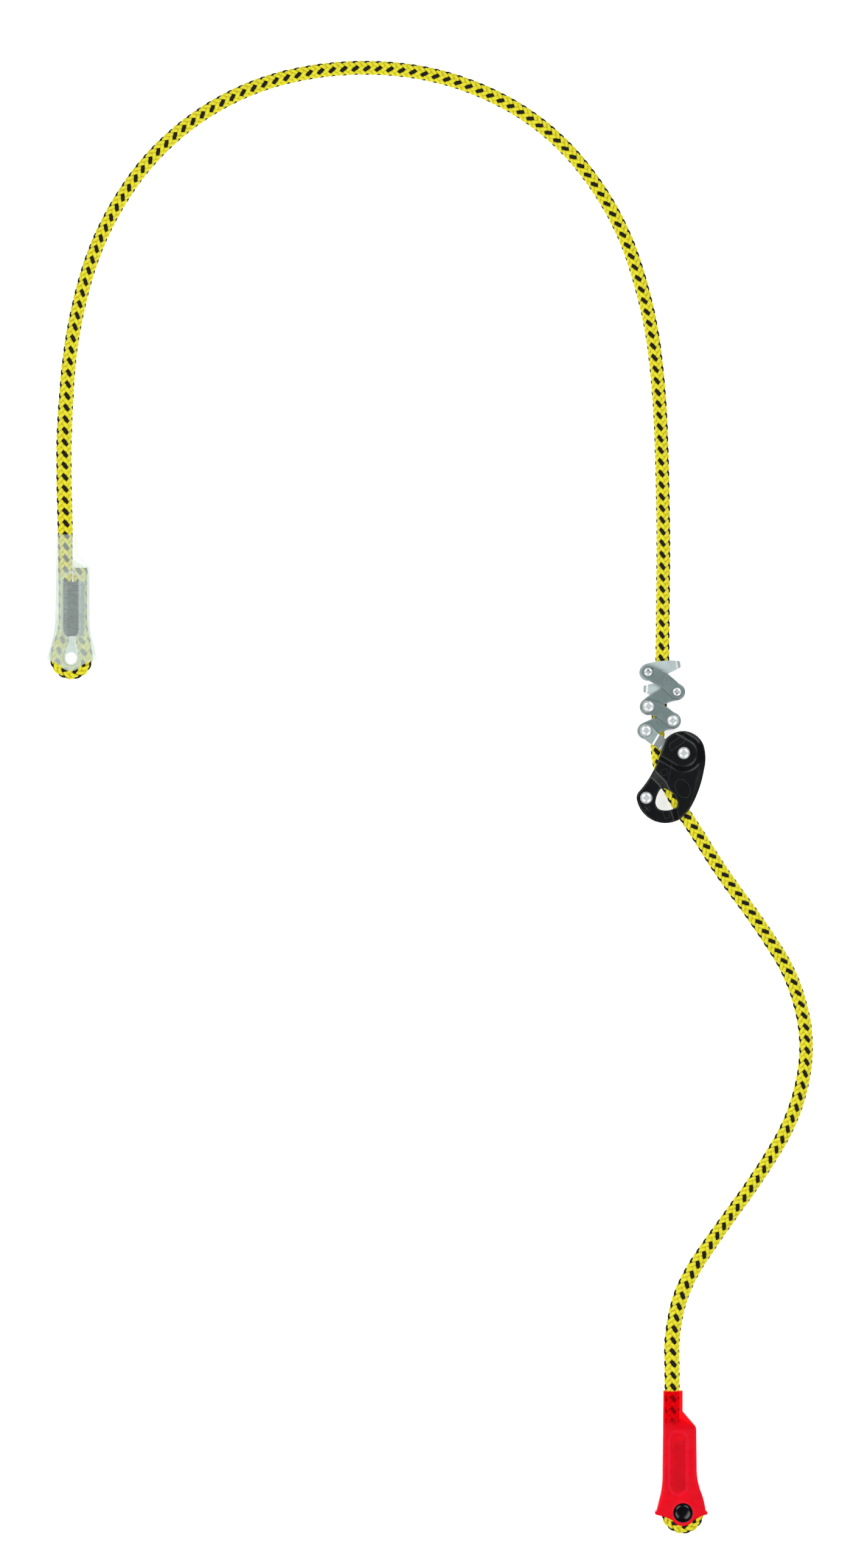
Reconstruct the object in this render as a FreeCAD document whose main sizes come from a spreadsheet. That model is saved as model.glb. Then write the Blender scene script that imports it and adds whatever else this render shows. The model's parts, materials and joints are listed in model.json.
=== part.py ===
"""Adjustable work-positioning lanyard: a braided rope threaded through a rope grab.

The grab is a chain of five pairs of links that zigzags along the rope, two bent levers that wrap round the
rope, and a two-plate body with a sheave on a ball bearing. The rope's two ends are sewn eyes in moulded
sleeves; the red one has its eye closed by a domed plug.

Frame: the lanyard lies flat on Z = 0 with its hinge axes along +Z. +Y runs up the rope from the body to the
top lever. X and Y are centred on the grab. Millimetres.
"""

import FreeCAD, Part
import math
import os

import Sketcher
from FreeCAD import Placement, Rotation, Vector

# ---------------------------------------------------------------------------------------------------------
# Driving dimensions
# ---------------------------------------------------------------------------------------------------------

SIZES = {
    # rope: its diameter, and the height of its centre inside the grab and where it lies on the floor
    "rope_dia": 12.5,
    "rope_low": 6.4,
    # the grab's mid-plane, and the inner face of each layer of plates measured from it
    "mid_height": 15.0,
    "lever_inside": 6.9,
    "inner_inside": 9.1,
    "outer_inside": 11.3,
    "head_top": 15.0,
    "plate_thick": 2.0,
    "play": 0.05,
    # pivots of the chain, from the top lever down to the body's axle, and the rivet in the body's ear
    "top_x": -20.2,
    "top_y": 59.3,
    "second_x": 4.5,
    "second_y": 42.3,
    "third_x": -19.8,
    "third_y": 29.7,
    "fourth_x": 0.9,
    "fourth_y": 17.5,
    "fifth_x": -21.9,
    "fifth_y": 8.9,
    "axle_x": 10.4,
    "axle_y": -10.3,
    "ear_x": -21.6,
    "ear_y": -48.8,
    # link plates: end radius, height of the convex edge and of the concave edge over the line of pivots
    "outer_end": 6.0,
    "inner_end": 7.2,
    "top_rise": 8.1,
    "top_drop": 4.4,
    "upper_rise": 8.8,
    "upper_drop": 4.8,
    "middle_rise": 7.5,
    "middle_drop": 4.3,
    "lower_rise": 7.7,
    "lower_drop": 5.5,
    "body_rise": 7.8,
    "body_drop": 2.6,
    "outer_round": 0.45,
    "inner_round": 0.8,
    "engraving": 0.2,
    # joggle of the link that runs into the body
    "joggle_start": 9.2,
    "joggle_end": 18.4,
    # rivets and bushes
    "shank_radius": 2.2,
    "bush_radius": 3.2,
    "large_head": 5.3,
    "small_head": 3.9,
    # levers
    "lever_hub": 7.3,
    "lever_bend": 6.4,
    "lever_reach": 30.5,
    "spring_wire": 0.8,
    # body plates: outer face of the ear, of the rope channel and of the dome, from the mid-plane
    "ear_level": 6.6,
    "channel_level": 9.8,
    "dome_level": 12.6,
    "body_thick": 2.8,
    "body_top_radius": 18.9,
    "dome_flat": 11.5,
    "dome_foot": 21.1,
    "dome_angle": 150.0,
    "dome_run": 40.0,
    # sheave and bearing
    "groove_radius": 15.1,
    "flange_radius": 17.2,
    "groove_round": 6.7,
    "sheave_half": 5.2,
    "axle_radius": 3.5,
    "inner_race": 5.5,
    "ball_centre": 7.0,
    "ball_radius": 1.6,
    "outer_race": 10.5,
    "race_half": 3.0,
    # sewn eyes
    "eye_height": 7.6,
    "sleeve_half": 7.2,
    "cavity_half": 6.35,
    "eye_radius": 5.0,
    "thimble_wall": 0.45,
    "clear_x": -517.2,
    "clear_y": 71.5,
    "red_x": 10.1,
    "red_y": -664.2,
    "red_shift": -4.4,
    "leg_gap": 13.1,
    "leg_offset": -4.9,
    "leg_play": 0.12,
    "plug_head": 8.35,
    "plug_rise": 2.3,
}

doc = FreeCAD.newDocument("adjustable_lanyard")
sheet = doc.addObject("Spreadsheet::Sheet", "Sheet")
for row, (alias, number) in enumerate(SIZES.items(), start=1):
    sheet.set(f"A{row}", alias)
    sheet.set(f"B{row}", str(number))
    sheet.setAlias(f"B{row}", alias)
doc.recompute()

X_AXIS = Vector(1, 0, 0)
Y_AXIS = Vector(0, 1, 0)
Z_AXIS = Vector(0, 0, 1)
FRONT, REAR = 1, -1
# A length that reaches past the grab either way, for solids that are cut to shape by another.
WIDE = 50
# The gap between two faces that turn on each other, and how far the top washers' rims stand off the shank.
FACE_PLAY = 0.1
WASHER_RIM = 2.6
nodes = []


def value(size):
    """The number behind a size: an expression over the sheet's cells, or a plain number."""
    return float(sheet.evalExpression(size)) if isinstance(size, str) else float(size)


def bind(item, target, size):
    """Ties one property of an object to the sheet when its size is an expression."""
    if isinstance(size, str):
        item.setExpression(target, size)


def node(item, label):
    """Marks an object as a finished sub-part."""
    item.Label = label
    nodes.append(item)
    return item


def place(item, x, y, z, angle=None):
    """Puts an object at (x, y, z), turned about Z by angle degrees."""
    turn = value(angle) if angle is not None else 0.0
    item.Placement = Placement(Vector(value(x), value(y), value(z)), Rotation(Z_AXIS, turn or 1e-9))
    bind(item, "Placement.Base.x", x)
    bind(item, "Placement.Base.y", y)
    bind(item, "Placement.Base.z", z)
    if angle is not None:
        bind(item, "Placement.Rotation.Angle", angle)


# ---------------------------------------------------------------------------------------------------------
# Sketch helpers
# ---------------------------------------------------------------------------------------------------------


def pin_point(sketch, geometry, position, x, y):
    """Ties a point of a sketch to the coordinates x and y."""
    for kind, axis, size in (("DistanceX", -2, x), ("DistanceY", -1, y)):
        if abs(value(size)) < 1e-9 and not isinstance(size, str):
            sketch.addConstraint(Sketcher.Constraint("PointOnObject", geometry, position, axis))
            continue
        number = sketch.addConstraint(Sketcher.Constraint(kind, -1, 1, geometry, position, value(size)))
        bind(sketch, f"Constraints[{number}]", size)


def side(start, end, radius):
    """A straight side, or the arc of the given radius: positive turns left, and negative turns right."""
    if radius is None:
        return Part.LineSegment(start, end)
    chord = end - start
    reach = abs(radius)
    offset = math.sqrt(max(reach**2 - (chord.Length / 2) ** 2, 0.0))
    left = Vector(-chord.y, chord.x, 0).normalize()
    centre = (start + end) * 0.5 + left * math.copysign(offset, radius)
    from_start = math.atan2(start.y - centre.y, start.x - centre.x)
    from_end = math.atan2(end.y - centre.y, end.x - centre.x)
    circle = Part.Circle(centre, Z_AXIS, reach)
    first, last = (from_start, from_end) if radius > 0 else (from_end, from_start)
    return Part.ArcOfCircle(circle, first, last if last > first else last + 2 * math.pi)


def outline(sketch, corners):
    """Adds a closed outline to a sketch. A corner is (x, y, radius), where radius is that of the arc to the
    next corner, positive to turn left and negative to turn right, or None for a straight side."""
    points = [Vector(value(x), value(y), 0) for x, y, _ in corners]
    first = sketch.GeometryCount
    count = len(corners)
    ends = []
    for i, (_, _, radius) in enumerate(corners):
        turn = None if radius is None else value(radius)
        sketch.addGeometry(side(points[i], points[(i + 1) % count], turn))
        ends.append((1, 2) if turn is None or turn > 0 else (2, 1))
    for i, (x, y, radius) in enumerate(corners):
        following = (i + 1) % count
        sketch.addConstraint(
            Sketcher.Constraint("Coincident", first + i, ends[i][1], first + following, ends[following][0])
        )
        pin_point(sketch, first + i, ends[i][0], x, y)
        if radius is not None:
            number = sketch.addConstraint(Sketcher.Constraint("Radius", first + i, abs(value(radius))))
            if isinstance(radius, str):
                sketch.setExpression(f"Constraints[{number}]", f"abs({radius})")


def ring(sketch, x, y, radius):
    """Adds a circle to a sketch."""
    number = sketch.addGeometry(Part.Circle(Vector(value(x), value(y), 0), Z_AXIS, value(radius)))
    pin_point(sketch, number, 3, x, y)
    constraint = sketch.addConstraint(Sketcher.Constraint("Radius", number, value(radius)))
    bind(sketch, f"Constraints[{constraint}]", radius)


def plan_sketch(name, corners=(), rings=(), z=0):
    """A sketch that lies flat at height z."""
    sketch = doc.addObject("Sketcher::SketchObject", name)
    if corners:
        outline(sketch, corners)
    for x, y, radius in rings:
        ring(sketch, x, y, radius)
    sketch.Placement = Placement(Vector(0, 0, value(z)), Rotation())
    bind(sketch, "Placement.Base.z", z)
    return sketch


def upright_sketch(name, corners, x=0, y=0):
    """A sketch in a plane across Y: its own axes are the model's X and Z."""
    sketch = doc.addObject("Sketcher::SketchObject", name)
    outline(sketch, corners)
    sketch.Placement = Placement(Vector(value(x), value(y), 0), Rotation(X_AXIS, 90))
    bind(sketch, "Placement.Base.x", x)
    bind(sketch, "Placement.Base.y", y)
    return sketch


def extruded(name, sketch, length, direction=Z_AXIS, both_ways=False):
    """A prism over a sketch."""
    item = doc.addObject("Part::Extrusion", name)
    item.Base = sketch
    item.DirMode = "Custom"
    item.Dir = direction
    item.Solid = True
    item.Symmetric = both_ways
    item.LengthFwd = value(length)
    bind(item, "LengthFwd", length)
    return item


def turned(name, corners, x, y):
    """A solid of revolution about the upright axis through (x, y). Its corners are (radius, height, arc)."""
    item = doc.addObject("Part::Revolution", name)
    item.Source = upright_sketch(f"{name}_profile", corners, x, y)
    item.Axis = Z_AXIS
    item.Base = Vector(value(x), value(y), 0)
    bind(item, "Base.x", x)
    bind(item, "Base.y", y)
    item.Angle = 360
    item.Solid = True
    return item


def joined(kind, name, items):
    """A boolean of several objects: MultiFuse, MultiCommon or Compound."""
    item = doc.addObject(f"Part::{kind}", name)
    if kind == "Compound":
        item.Links = items
    else:
        item.Shapes = items
    return item


def cut(name, base, tool):
    """base with tool taken away."""
    item = doc.addObject("Part::Cut", name)
    item.Base = base
    item.Tool = tool
    return item


def tube(name, x, y, low, high, outer, inner):
    """An upright tube between two heights."""
    corners = [(inner, low, None), (outer, low, None), (outer, high, None), (inner, high, None)]
    return turned(name, corners, x, y)


# ---------------------------------------------------------------------------------------------------------
# Chain of links
# ---------------------------------------------------------------------------------------------------------


def level(face, inside):
    """The height of a face that lies inside millimetres in front of the mid-plane, or behind it."""
    return f"Sheet.mid_height {'+' if face == FRONT else '-'} ({inside})"


def pivot_span(start, end):
    return f"hypot(Sheet.{end}_x - Sheet.{start}_x; Sheet.{end}_y - Sheet.{start}_y)"


def pivot_angle(start, end):
    return f"atan2(Sheet.{end}_y - Sheet.{start}_y; Sheet.{end}_x - Sheet.{start}_x)"


def link_corners(span, end_radius, rise, drop):
    """The outline of a curved link from pivot (0, 0) to pivot (span, 0). Its two ends are round. Its left
    edge bulges to rise, its right edge is hollow and stays drop away, and both run smoothly into the ends."""
    length, end, high, low = value(span), value(end_radius), value(rise), value(drop)
    half = length / 2
    above = (half**2 - (high - end) ** 2) / (2 * (high - end))
    below = (half**2 - (end - low) ** 2) / (2 * (end - low))
    convex_lean = math.atan2(half, above)
    hollow_lean = math.atan2(half, below)
    top_x, top_y = end * math.sin(convex_lean), end * math.cos(convex_lean)
    low_x, low_y = end * math.sin(hollow_lean), end * math.cos(hollow_lean)
    return [
        (-top_x, top_y, -(above + high)),
        (length + top_x, top_y, -end),
        (length + end, 0, -end),
        (length - low_x, -low_y, below - low),
        (low_x, -low_y, -end),
        (-end, 0, -end),
    ]


def rounded_face(body, name, feature, height, radius):
    """Rounds the outer edge of a plate's face at the given height, but not the edges of its holes."""
    edges = []
    for number, edge in enumerate(feature.Shape.Edges, start=1):
        flat = abs(edge.BoundBox.ZMin - height) < 1e-6 and abs(edge.BoundBox.ZMax - height) < 1e-6
        if flat and not edge.isClosed():
            edges.append(f"Edge{number}")
    fillet = body.newObject("PartDesign::Fillet", name)
    fillet.Base = (feature, edges)
    fillet.Radius = value(radius)
    fillet.setExpression("Radius", radius)
    return fillet


# The hole for the spring's leg: its place from the top pivot, and its radius.
SPRING_HOLE_PLACE = Vector(3.3, 2.6, 0)
SPRING_HOLE_RADIUS = 0.9


def link_plate(label, face, pivots, shape, inside, hole, rounding, engraving=None, spring_hole=False):
    """One flat link plate between two pivots of the chain, with its outside face rounded. The plate over the
    lever's spring has a small hole for the spring's leg."""
    start, end = pivots
    end_radius, rise, drop = shape
    span = pivot_span(start, end)
    body = doc.addObject("PartDesign::Body", label)
    flat = next(o for o in body.Origin.OriginFeatures if o.Role == "XY_Plane")
    sketch = body.newObject("Sketcher::SketchObject", f"{label}_plan")
    sketch.AttachmentSupport = [(flat, "")]
    sketch.MapMode = "FlatFace"
    outline(sketch, link_corners(span, end_radius, rise, drop))
    ring(sketch, 0, 0, hole)
    ring(sketch, span, 0, hole)
    if spring_hole:
        away = Rotation(Z_AXIS, -value(pivot_angle(start, end))).multVec(SPRING_HOLE_PLACE)
        ring(sketch, away.x, away.y, SPRING_HOLE_RADIUS)
    pad = body.newObject("PartDesign::Pad", f"{label}_pad")
    pad.Profile = sketch
    pad.Length = value("Sheet.plate_thick")
    pad.setExpression("Length", "Sheet.plate_thick")
    pad.Reversed = face == REAR
    doc.recompute()
    outside = face * value("Sheet.plate_thick")
    rounded_face(body, f"{label}_round", pad, outside, rounding)
    if engraving:
        mark = body.newObject("Sketcher::SketchObject", f"{label}_mark")
        mark.AttachmentSupport = [(flat, "")]
        mark.MapMode = "FlatFace"
        mark.AttachmentOffset = Placement(Vector(0, 0, outside), Rotation())
        for corners in engraving:
            outline(mark, corners)
        pocket = body.newObject("PartDesign::Pocket", f"{label}_groove")
        pocket.Profile = mark
        pocket.Length = value("Sheet.engraving")
        pocket.setExpression("Length", "Sheet.engraving")
    place(body, f"Sheet.{start}_x", f"Sheet.{start}_y", level(face, inside), pivot_angle(start, end))
    return node(body, label)


def groove_pair(corners, width):
    """A polygon and the same polygon drawn in by width: the two outlines of an engraved line."""
    points = [Vector(x, y, 0) for x, y in corners]
    count = len(points)
    inner = []
    for i, point in enumerate(points):
        before = (point - points[i - 1]).normalize()
        after = (points[(i + 1) % count] - point).normalize()
        inward = Vector(-before.y, before.x, 0) + Vector(-after.y, after.x, 0)
        inner.append(point + inward * (width / (1 + before.dot(after))))
    return [[(p.x, p.y, None) for p in points], [(p.x, p.y, None) for p in inner]]


def turned_corners(points, angle, shift):
    """Points turned about the origin by angle degrees, then shifted."""
    turn = Rotation(Z_AXIS, angle)
    moved = [turn.multVec(Vector(x, y, 0)) + shift for x, y in points]
    return [(p.x, p.y) for p in moved]


def arrow_groove():
    """A plain arrow on the top link that points up the rope."""
    half_head, head, half_stem, stem, line = 3.1, 6.4, 0.85, 4.0, 0.25
    points = [
        (-half_stem, -stem),
        (half_stem, -stem),
        (half_stem, 0),
        (half_head, 0),
        (0, head),
        (-half_head, 0),
        (-half_stem, 0),
    ]
    link_angle = value(pivot_angle("top", "second"))
    middle, lean = Vector(17.9, 1.5, 0), 4
    return groove_pair(turned_corners(points, -link_angle - lean, middle), line)


def bar_groove():
    """A narrow engraved bar across the middle link."""
    half_foot, half_top, half_length, line, lean = 0.85, 0.68, 4.2, 0.2, 6
    points = [
        (-half_foot, -half_length),
        (half_foot, -half_length),
        (half_top, half_length),
        (-half_top, half_length),
    ]
    link_angle = value(pivot_angle("third", "fourth"))
    middle = Vector(10.6, 1.4, 0)
    return groove_pair(turned_corners(points, -link_angle - lean, middle), line)


PLATES = {
    "top_link": ("top", "second", "outer", "top", arrow_groove),
    "upper_link": ("third", "second", "inner", "upper", None),
    "middle_link": ("third", "fourth", "outer", "middle", bar_groove),
    "lower_link": ("fifth", "fourth", "inner", "lower", None),
}


def build_link_plates():
    for name, (start, end, layer, curve, groove) in PLATES.items():
        shape = (f"Sheet.{layer}_end", f"Sheet.{curve}_rise", f"Sheet.{curve}_drop")
        # The outer plates are riveted tight on their shanks; the inner plates turn on them.
        hole = "Sheet.shank_radius" if layer == "outer" else "Sheet.shank_radius + Sheet.play"
        for face, word in ((FRONT, "front"), (REAR, "rear")):
            engraving = groove() if groove and face == FRONT else None
            link_plate(
                f"{name}_{word}",
                face,
                (start, end),
                shape,
                f"Sheet.{layer}_inside",
                hole,
                f"Sheet.{layer}_round",
                engraving,
                spring_hole=name == "top_link" and face == FRONT,
            )


def joggled_link(label, face):
    """One plate of the link that runs from the fifth pivot into the body. It steps in towards the mid-plane
    so that it passes under the body plate, where it turns on the axle."""
    span = pivot_span("axle", "fifth")
    plan = plan_sketch(
        f"{label}_plan",
        link_corners(span, "Sheet.outer_end", "Sheet.body_rise", "Sheet.body_drop"),
        [(0, 0, "Sheet.axle_radius + Sheet.play"), (span, 0, "Sheet.shank_radius")],
    )
    prism = extruded(f"{label}_prism", plan, WIDE, both_ways=True)
    sign = "" if face == FRONT else "-"
    near, far, thick = "Sheet.lever_inside", "Sheet.outer_inside", "Sheet.plate_thick"
    inner_start = f"{span} - Sheet.joggle_end"
    outer_start = f"{span} - Sheet.joggle_start"
    # Each bend is an arc that runs from its level a little way up or down the slope.
    bend, run, climb, past_end = 7.0, 2.08, 0.585, 12
    corners = [
        (-past_end, f"{sign}({near})", None),
        (inner_start, f"{sign}({near})", face * bend),
        (f"{inner_start} + {run}", f"{sign}({near} + {climb})", None),
        (f"{outer_start} - {run * 0.62}", f"{sign}({far} - {climb * 0.67})", -face * bend),
        (outer_start, f"{sign}({far})", None),
        (f"{span} + {past_end}", f"{sign}({far})", None),
        (f"{span} + {past_end}", f"{sign}({far} + {thick})", None),
        (f"{outer_start} - {run * 0.31}", f"{sign}({far} + {thick})", face * bend),
        (f"{outer_start} - {run * 1.25}", f"{sign}({far} + {thick} - {climb * 0.9})", None),
        (f"{inner_start} + {run * 0.37}", f"{sign}({near} + {thick} + {climb * 0.55})", -face * bend),
        (f"{inner_start} - {run * 0.37}", f"{sign}({near} + {thick})", None),
        (-past_end, f"{sign}({near} + {thick})", None),
    ]
    strip = extruded(f"{label}_strip", upright_sketch(f"{label}_bend", corners), WIDE, Y_AXIS, True)
    plate = joined("MultiCommon", label, [prism, strip])
    place(plate, "Sheet.axle_x", "Sheet.axle_y", "Sheet.mid_height", pivot_angle("axle", "fifth"))
    return node(plate, label)


def rivet(name, pivot, head_radius, face_level, head_top, shank_radius):
    """A rivet through the grab: a shank with a turned head at each end. The heads have a shallow dimple, two
    fine turned grooves and a rounded shoulder."""
    ridge = [
        (0.0, 0.30),
        (0.14, 0.30),
        (0.22, 0.08),
        (0.44, 0.0),
        (0.50, 0.10),
        (0.56, 0.02),
        (0.80, 0.22),
        (0.93, 0.60),
        (1.0, 1.05),
    ]
    upper = [(f"{head_radius} * {share}" if share else 0, f"{head_top} - {dip}") for share, dip in ridge]
    upper.append((head_radius, face_level))
    upper.append((shank_radius, face_level))
    high = [(r, f"Sheet.mid_height + {z}", None) for r, z in upper]
    low = [(r, f"Sheet.mid_height - ({z})", None) for r, z in reversed(upper)]
    return turned(name, high + low, f"Sheet.{pivot}_x", f"Sheet.{pivot}_y")


def build_rivets():
    outer_face = "Sheet.outer_inside + Sheet.plate_thick"
    shank = "Sheet.shank_radius"
    groups = {
        "top_link_rivets": (("top", "second"), "Sheet.small_head"),
        "middle_link_rivets": (("third", "fourth"), "Sheet.large_head"),
        "body_link_rivet": (("fifth",), "Sheet.large_head"),
    }
    for label, (pivots, head) in groups.items():
        rivets = [rivet(f"{label}_{p}", p, head, outer_face, "Sheet.head_top", shank) for p in pivots]
        node(joined("Compound", label, rivets) if len(rivets) > 1 else rivets[0], label)


def build_bushes():
    """Bushes on the rivets' shanks that hold each pair of inner plates, or of lever walls, apart."""
    inner_gap = f"Sheet.inner_inside - {FACE_PLAY}"
    lever_gap = f"Sheet.lever_inside - {FACE_PLAY}"
    groups = {
        "upper_link_bush": (("third", inner_gap),),
        "lower_link_bushes": (("fourth", inner_gap), ("fifth", inner_gap)),
        "lever_bushes": (("top", lever_gap), ("second", lever_gap)),
    }
    for label, members in groups.items():
        bushes = [
            tube(
                f"{label}_{pivot}", f"Sheet.{pivot}_x", f"Sheet.{pivot}_y", level(REAR, half),
                level(FRONT, half), "Sheet.bush_radius", "Sheet.shank_radius + Sheet.play",
            )
            for pivot, half in members
        ]
        node(joined("Compound", label, bushes) if len(bushes) > 1 else bushes[0], label)
    washers = []
    for face in (FRONT, REAR):
        faces = (
            level(face, f"Sheet.lever_inside + Sheet.plate_thick + {FACE_PLAY}"),
            level(face, f"Sheet.outer_inside - {FACE_PLAY}"),
        )
        low, high = sorted(faces, key=value)
        name, hole = f"top_washer_{face + 1}", "Sheet.shank_radius + Sheet.play"
        outer = f"Sheet.shank_radius + {WASHER_RIM}"
        washers.append(tube(name, "Sheet.top_x", "Sheet.top_y", low, high, outer, hole))
    node(joined("Compound", "top_link_washers", washers), "top_link_washers")


def lever(label, pivot, angle, flipped):
    """A lever bent from one strip: two walls that turn on a rivet either side of the rope, joined by a
    rounded web beyond the rope, which is the part that a thumb presses."""
    hub, reach = "Sheet.lever_hub", "Sheet.lever_reach"
    up = -1 if flipped else 1
    corners = [
        (0, f"{up} * {hub}", up * -75),
        (27.1, up * 4.4, up * -4.2),
        (f"{reach} - 0.1", up * 0.6, up * -1.4),
        (f"{reach} - 1.2", up * -1.1, up * -60),
        (9.5, up * -5.2, up * 30),
        (1.5, f"{up} * -sqrt({hub} * {hub} - 2.25)", f"{-up} * {hub}"),
        (f"-{hub}", 0, f"{-up} * {hub}"),
    ]
    plan = plan_sketch(f"{label}_plan", corners, [(0, 0, "Sheet.shank_radius + Sheet.play")])
    prism = extruded(f"{label}_prism", plan, WIDE, both_ways=True)
    outer, thick, bend = "Sheet.lever_inside + Sheet.plate_thick", "Sheet.plate_thick", "Sheet.lever_bend"
    inner_bend = f"({bend} - {thick})"
    channel = [
        (-12, f"-({outer})", None),
        (f"{reach} - {bend}", f"-({outer})", bend),
        (reach, f"-({outer}) + {bend}", None),
        (reach, f"{outer} - {bend}", bend),
        (f"{reach} - {bend}", outer, None),
        (-12, outer, None),
        (-12, f"{outer} - {thick}", None),
        (f"{reach} - {bend}", f"{outer} - {thick}", f"-{inner_bend}"),
        (f"{reach} - {thick}", f"{outer} - {bend}", None),
        (f"{reach} - {thick}", f"-({outer}) + {bend}", f"-{inner_bend}"),
        (f"{reach} - {bend}", f"-({outer}) + {thick}", None),
        (-12, f"-({outer}) + {thick}", None),
    ]
    strip = extruded(f"{label}_strip", upright_sketch(f"{label}_bend", channel), WIDE, Y_AXIS, True)
    item = joined("MultiCommon", label, [prism, strip])
    place(item, f"Sheet.{pivot}_x", f"Sheet.{pivot}_y", "Sheet.mid_height", angle)
    return node(item, label)


def coil_spring(label, pivot):
    """The torsion spring that returns the top lever: close turns of wire round the top rivet's bush."""
    turns, pitch = 5, 1.0
    radius = value("Sheet.bush_radius") + 0.35 + value("Sheet.spring_wire") / 2
    wire = value("Sheet.spring_wire") / 2
    low = value("Sheet.mid_height") - turns * pitch / 2
    helix = Part.makeHelix(pitch, turns * pitch, radius)
    profile = Part.Wire([Part.makeCircle(wire, Vector(radius, 0, 0), Y_AXIS)])
    item = doc.addObject("Part::Feature", label)
    item.Shape = Part.Wire(helix.Edges).makePipeShell([profile], True, True)
    place(item, f"Sheet.{pivot}_x", f"Sheet.{pivot}_y", low)
    return node(item, label)


# ---------------------------------------------------------------------------------------------------------
# Body
# ---------------------------------------------------------------------------------------------------------


# The pin that locates one body plate on the other.
PIN_PLACE = (-20.9, -58.0)
PIN_RADIUS = 1.6
PIN_CHAMFER = 0.35
# How far the ear's rivet head stands up, and how thick the wall of its spacer is.
EAR_HEAD = 2.0
SPACER_WALL = 2.2


def body_outline():
    """The outline of a body plate, clockwise from where the round top meets the left edge."""
    return [
        (-4.8, 1.5, "-Sheet.body_top_radius"),
        (27.5, -3.3, -38),
        (28.0, -24.3, -98),
        (16.0, -57.9, -47),
        (7.0, -67.3, -24.9),
        (-29.8, -49.4, -8.2),
        (-27.0, -42.6, 82),
        (-11.9, -17.6, None),
    ]


def karabiner_hole():
    """The rounded three-cornered hole that a karabiner clips through."""
    return [
        (-10.6, -43.0, -4.2),
        (-4.0, -41.4, -16),
        (4.9, -51.6, -4.6),
        (2.2, -58.3, -18),
        (-9.4, -59.1, -7.0),
        (-13.8, -52.5, -22),
    ]


def pressed_form(name, face, sink):
    """The space under a body plate's outside face, sunk by sink: the low ear, the channel that clears the
    rope, with its sloping sides, and the dome over the sheave."""
    sign = "+" if face == FRONT else "-"

    def at(height):
        return f"Sheet.mid_height {sign} (Sheet.{height}_level - {sink})"

    slab_corners = [(-60, -100, None), (60, -100, None), (60, 60, None), (-60, 60, None)]
    floor = f"Sheet.mid_height {sign} (-{sink})"
    slab_plan = plan_sketch(f"{name}_floor", slab_corners, z=floor)
    slab = extruded(f"{name}_slab", slab_plan, "Sheet.ear_level", Z_AXIS * face)
    # The channel's foot on the ear's level and its crest, each from the left, down past the body and back up.
    foot = [(-27, -22), (-10.5, -38), (-1, -60), (6, -78), (17, -78), (34, -26), (35.5, 20), (-27, 20)]
    crest = [(-22, -17), (-5, -34.5), (4.2, -54), (8, -78), (11.5, -78), (23.6, -24), (24.4, 20), (-22, 20)]
    sections = [
        plan_sketch(f"{name}_foot", [(x, y, None) for x, y in foot], z=at("ear")),
        plan_sketch(f"{name}_crest", [(x, y, None) for x, y in crest], z=at("channel")),
    ]
    channel = doc.addObject("Part::Loft", f"{name}_channel")
    channel.Sections = sections
    channel.Solid = True
    channel.Ruled = True
    # The dome runs on as a ridge towards the link, in the direction of dome_angle.
    along_x, along_y = "cos(Sheet.dome_angle * 1deg)", "sin(Sheet.dome_angle * 1deg)"
    dome_sections = []
    for ring_name, height in (("dome_foot", "ear"), ("dome_flat", "dome")):
        radius = f"Sheet.{ring_name}"
        left = (f"Sheet.axle_x - {radius} * {along_y}", f"Sheet.axle_y + {radius} * {along_x}")
        right = (f"Sheet.axle_x + {radius} * {along_y}", f"Sheet.axle_y - {radius} * {along_x}")
        # Half a turn as two quarter arcs, so that each arc's radius fixes it.
        nose = (f"Sheet.axle_x - {radius} * {along_x}", f"Sheet.axle_y - {radius} * {along_y}")
        far_left, far_right = (
            (f"{x} + Sheet.dome_run * {along_x}", f"{y} + Sheet.dome_run * {along_y}")
            for x, y in (left, right)
        )
        corners = [(*left, radius), (*nose, radius), (*right, None), (*far_right, None), (*far_left, None)]
        dome_sections.append(plan_sketch(f"{name}_{ring_name}", corners, z=at(height)))
    dome = doc.addObject("Part::Loft", f"{name}_dome")
    dome.Sections = dome_sections
    dome.Solid = True
    dome.Ruled = True
    return joined("MultiFuse", f"{name}_form", [slab, channel, dome])


def side_plate(label, face):
    """One pressed plate of the body."""
    sketch = plan_sketch(
        f"{label}_plan",
        body_outline(),
        [
            ("Sheet.axle_x", "Sheet.axle_y", "Sheet.axle_radius"),
            ("Sheet.ear_x", "Sheet.ear_y", "Sheet.shank_radius"),
            (*PIN_PLACE, PIN_RADIUS),
        ],
    )
    outline(sketch, karabiner_hole())
    prism = extruded(f"{label}_prism", sketch, WIDE)
    outside = pressed_form(f"{label}_outside", face, "0")
    inside = pressed_form(f"{label}_inside", face, "Sheet.body_thick")
    block = joined("MultiCommon", f"{label}_block", [prism, outside])
    return node(cut(label, block, inside), label)


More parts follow.
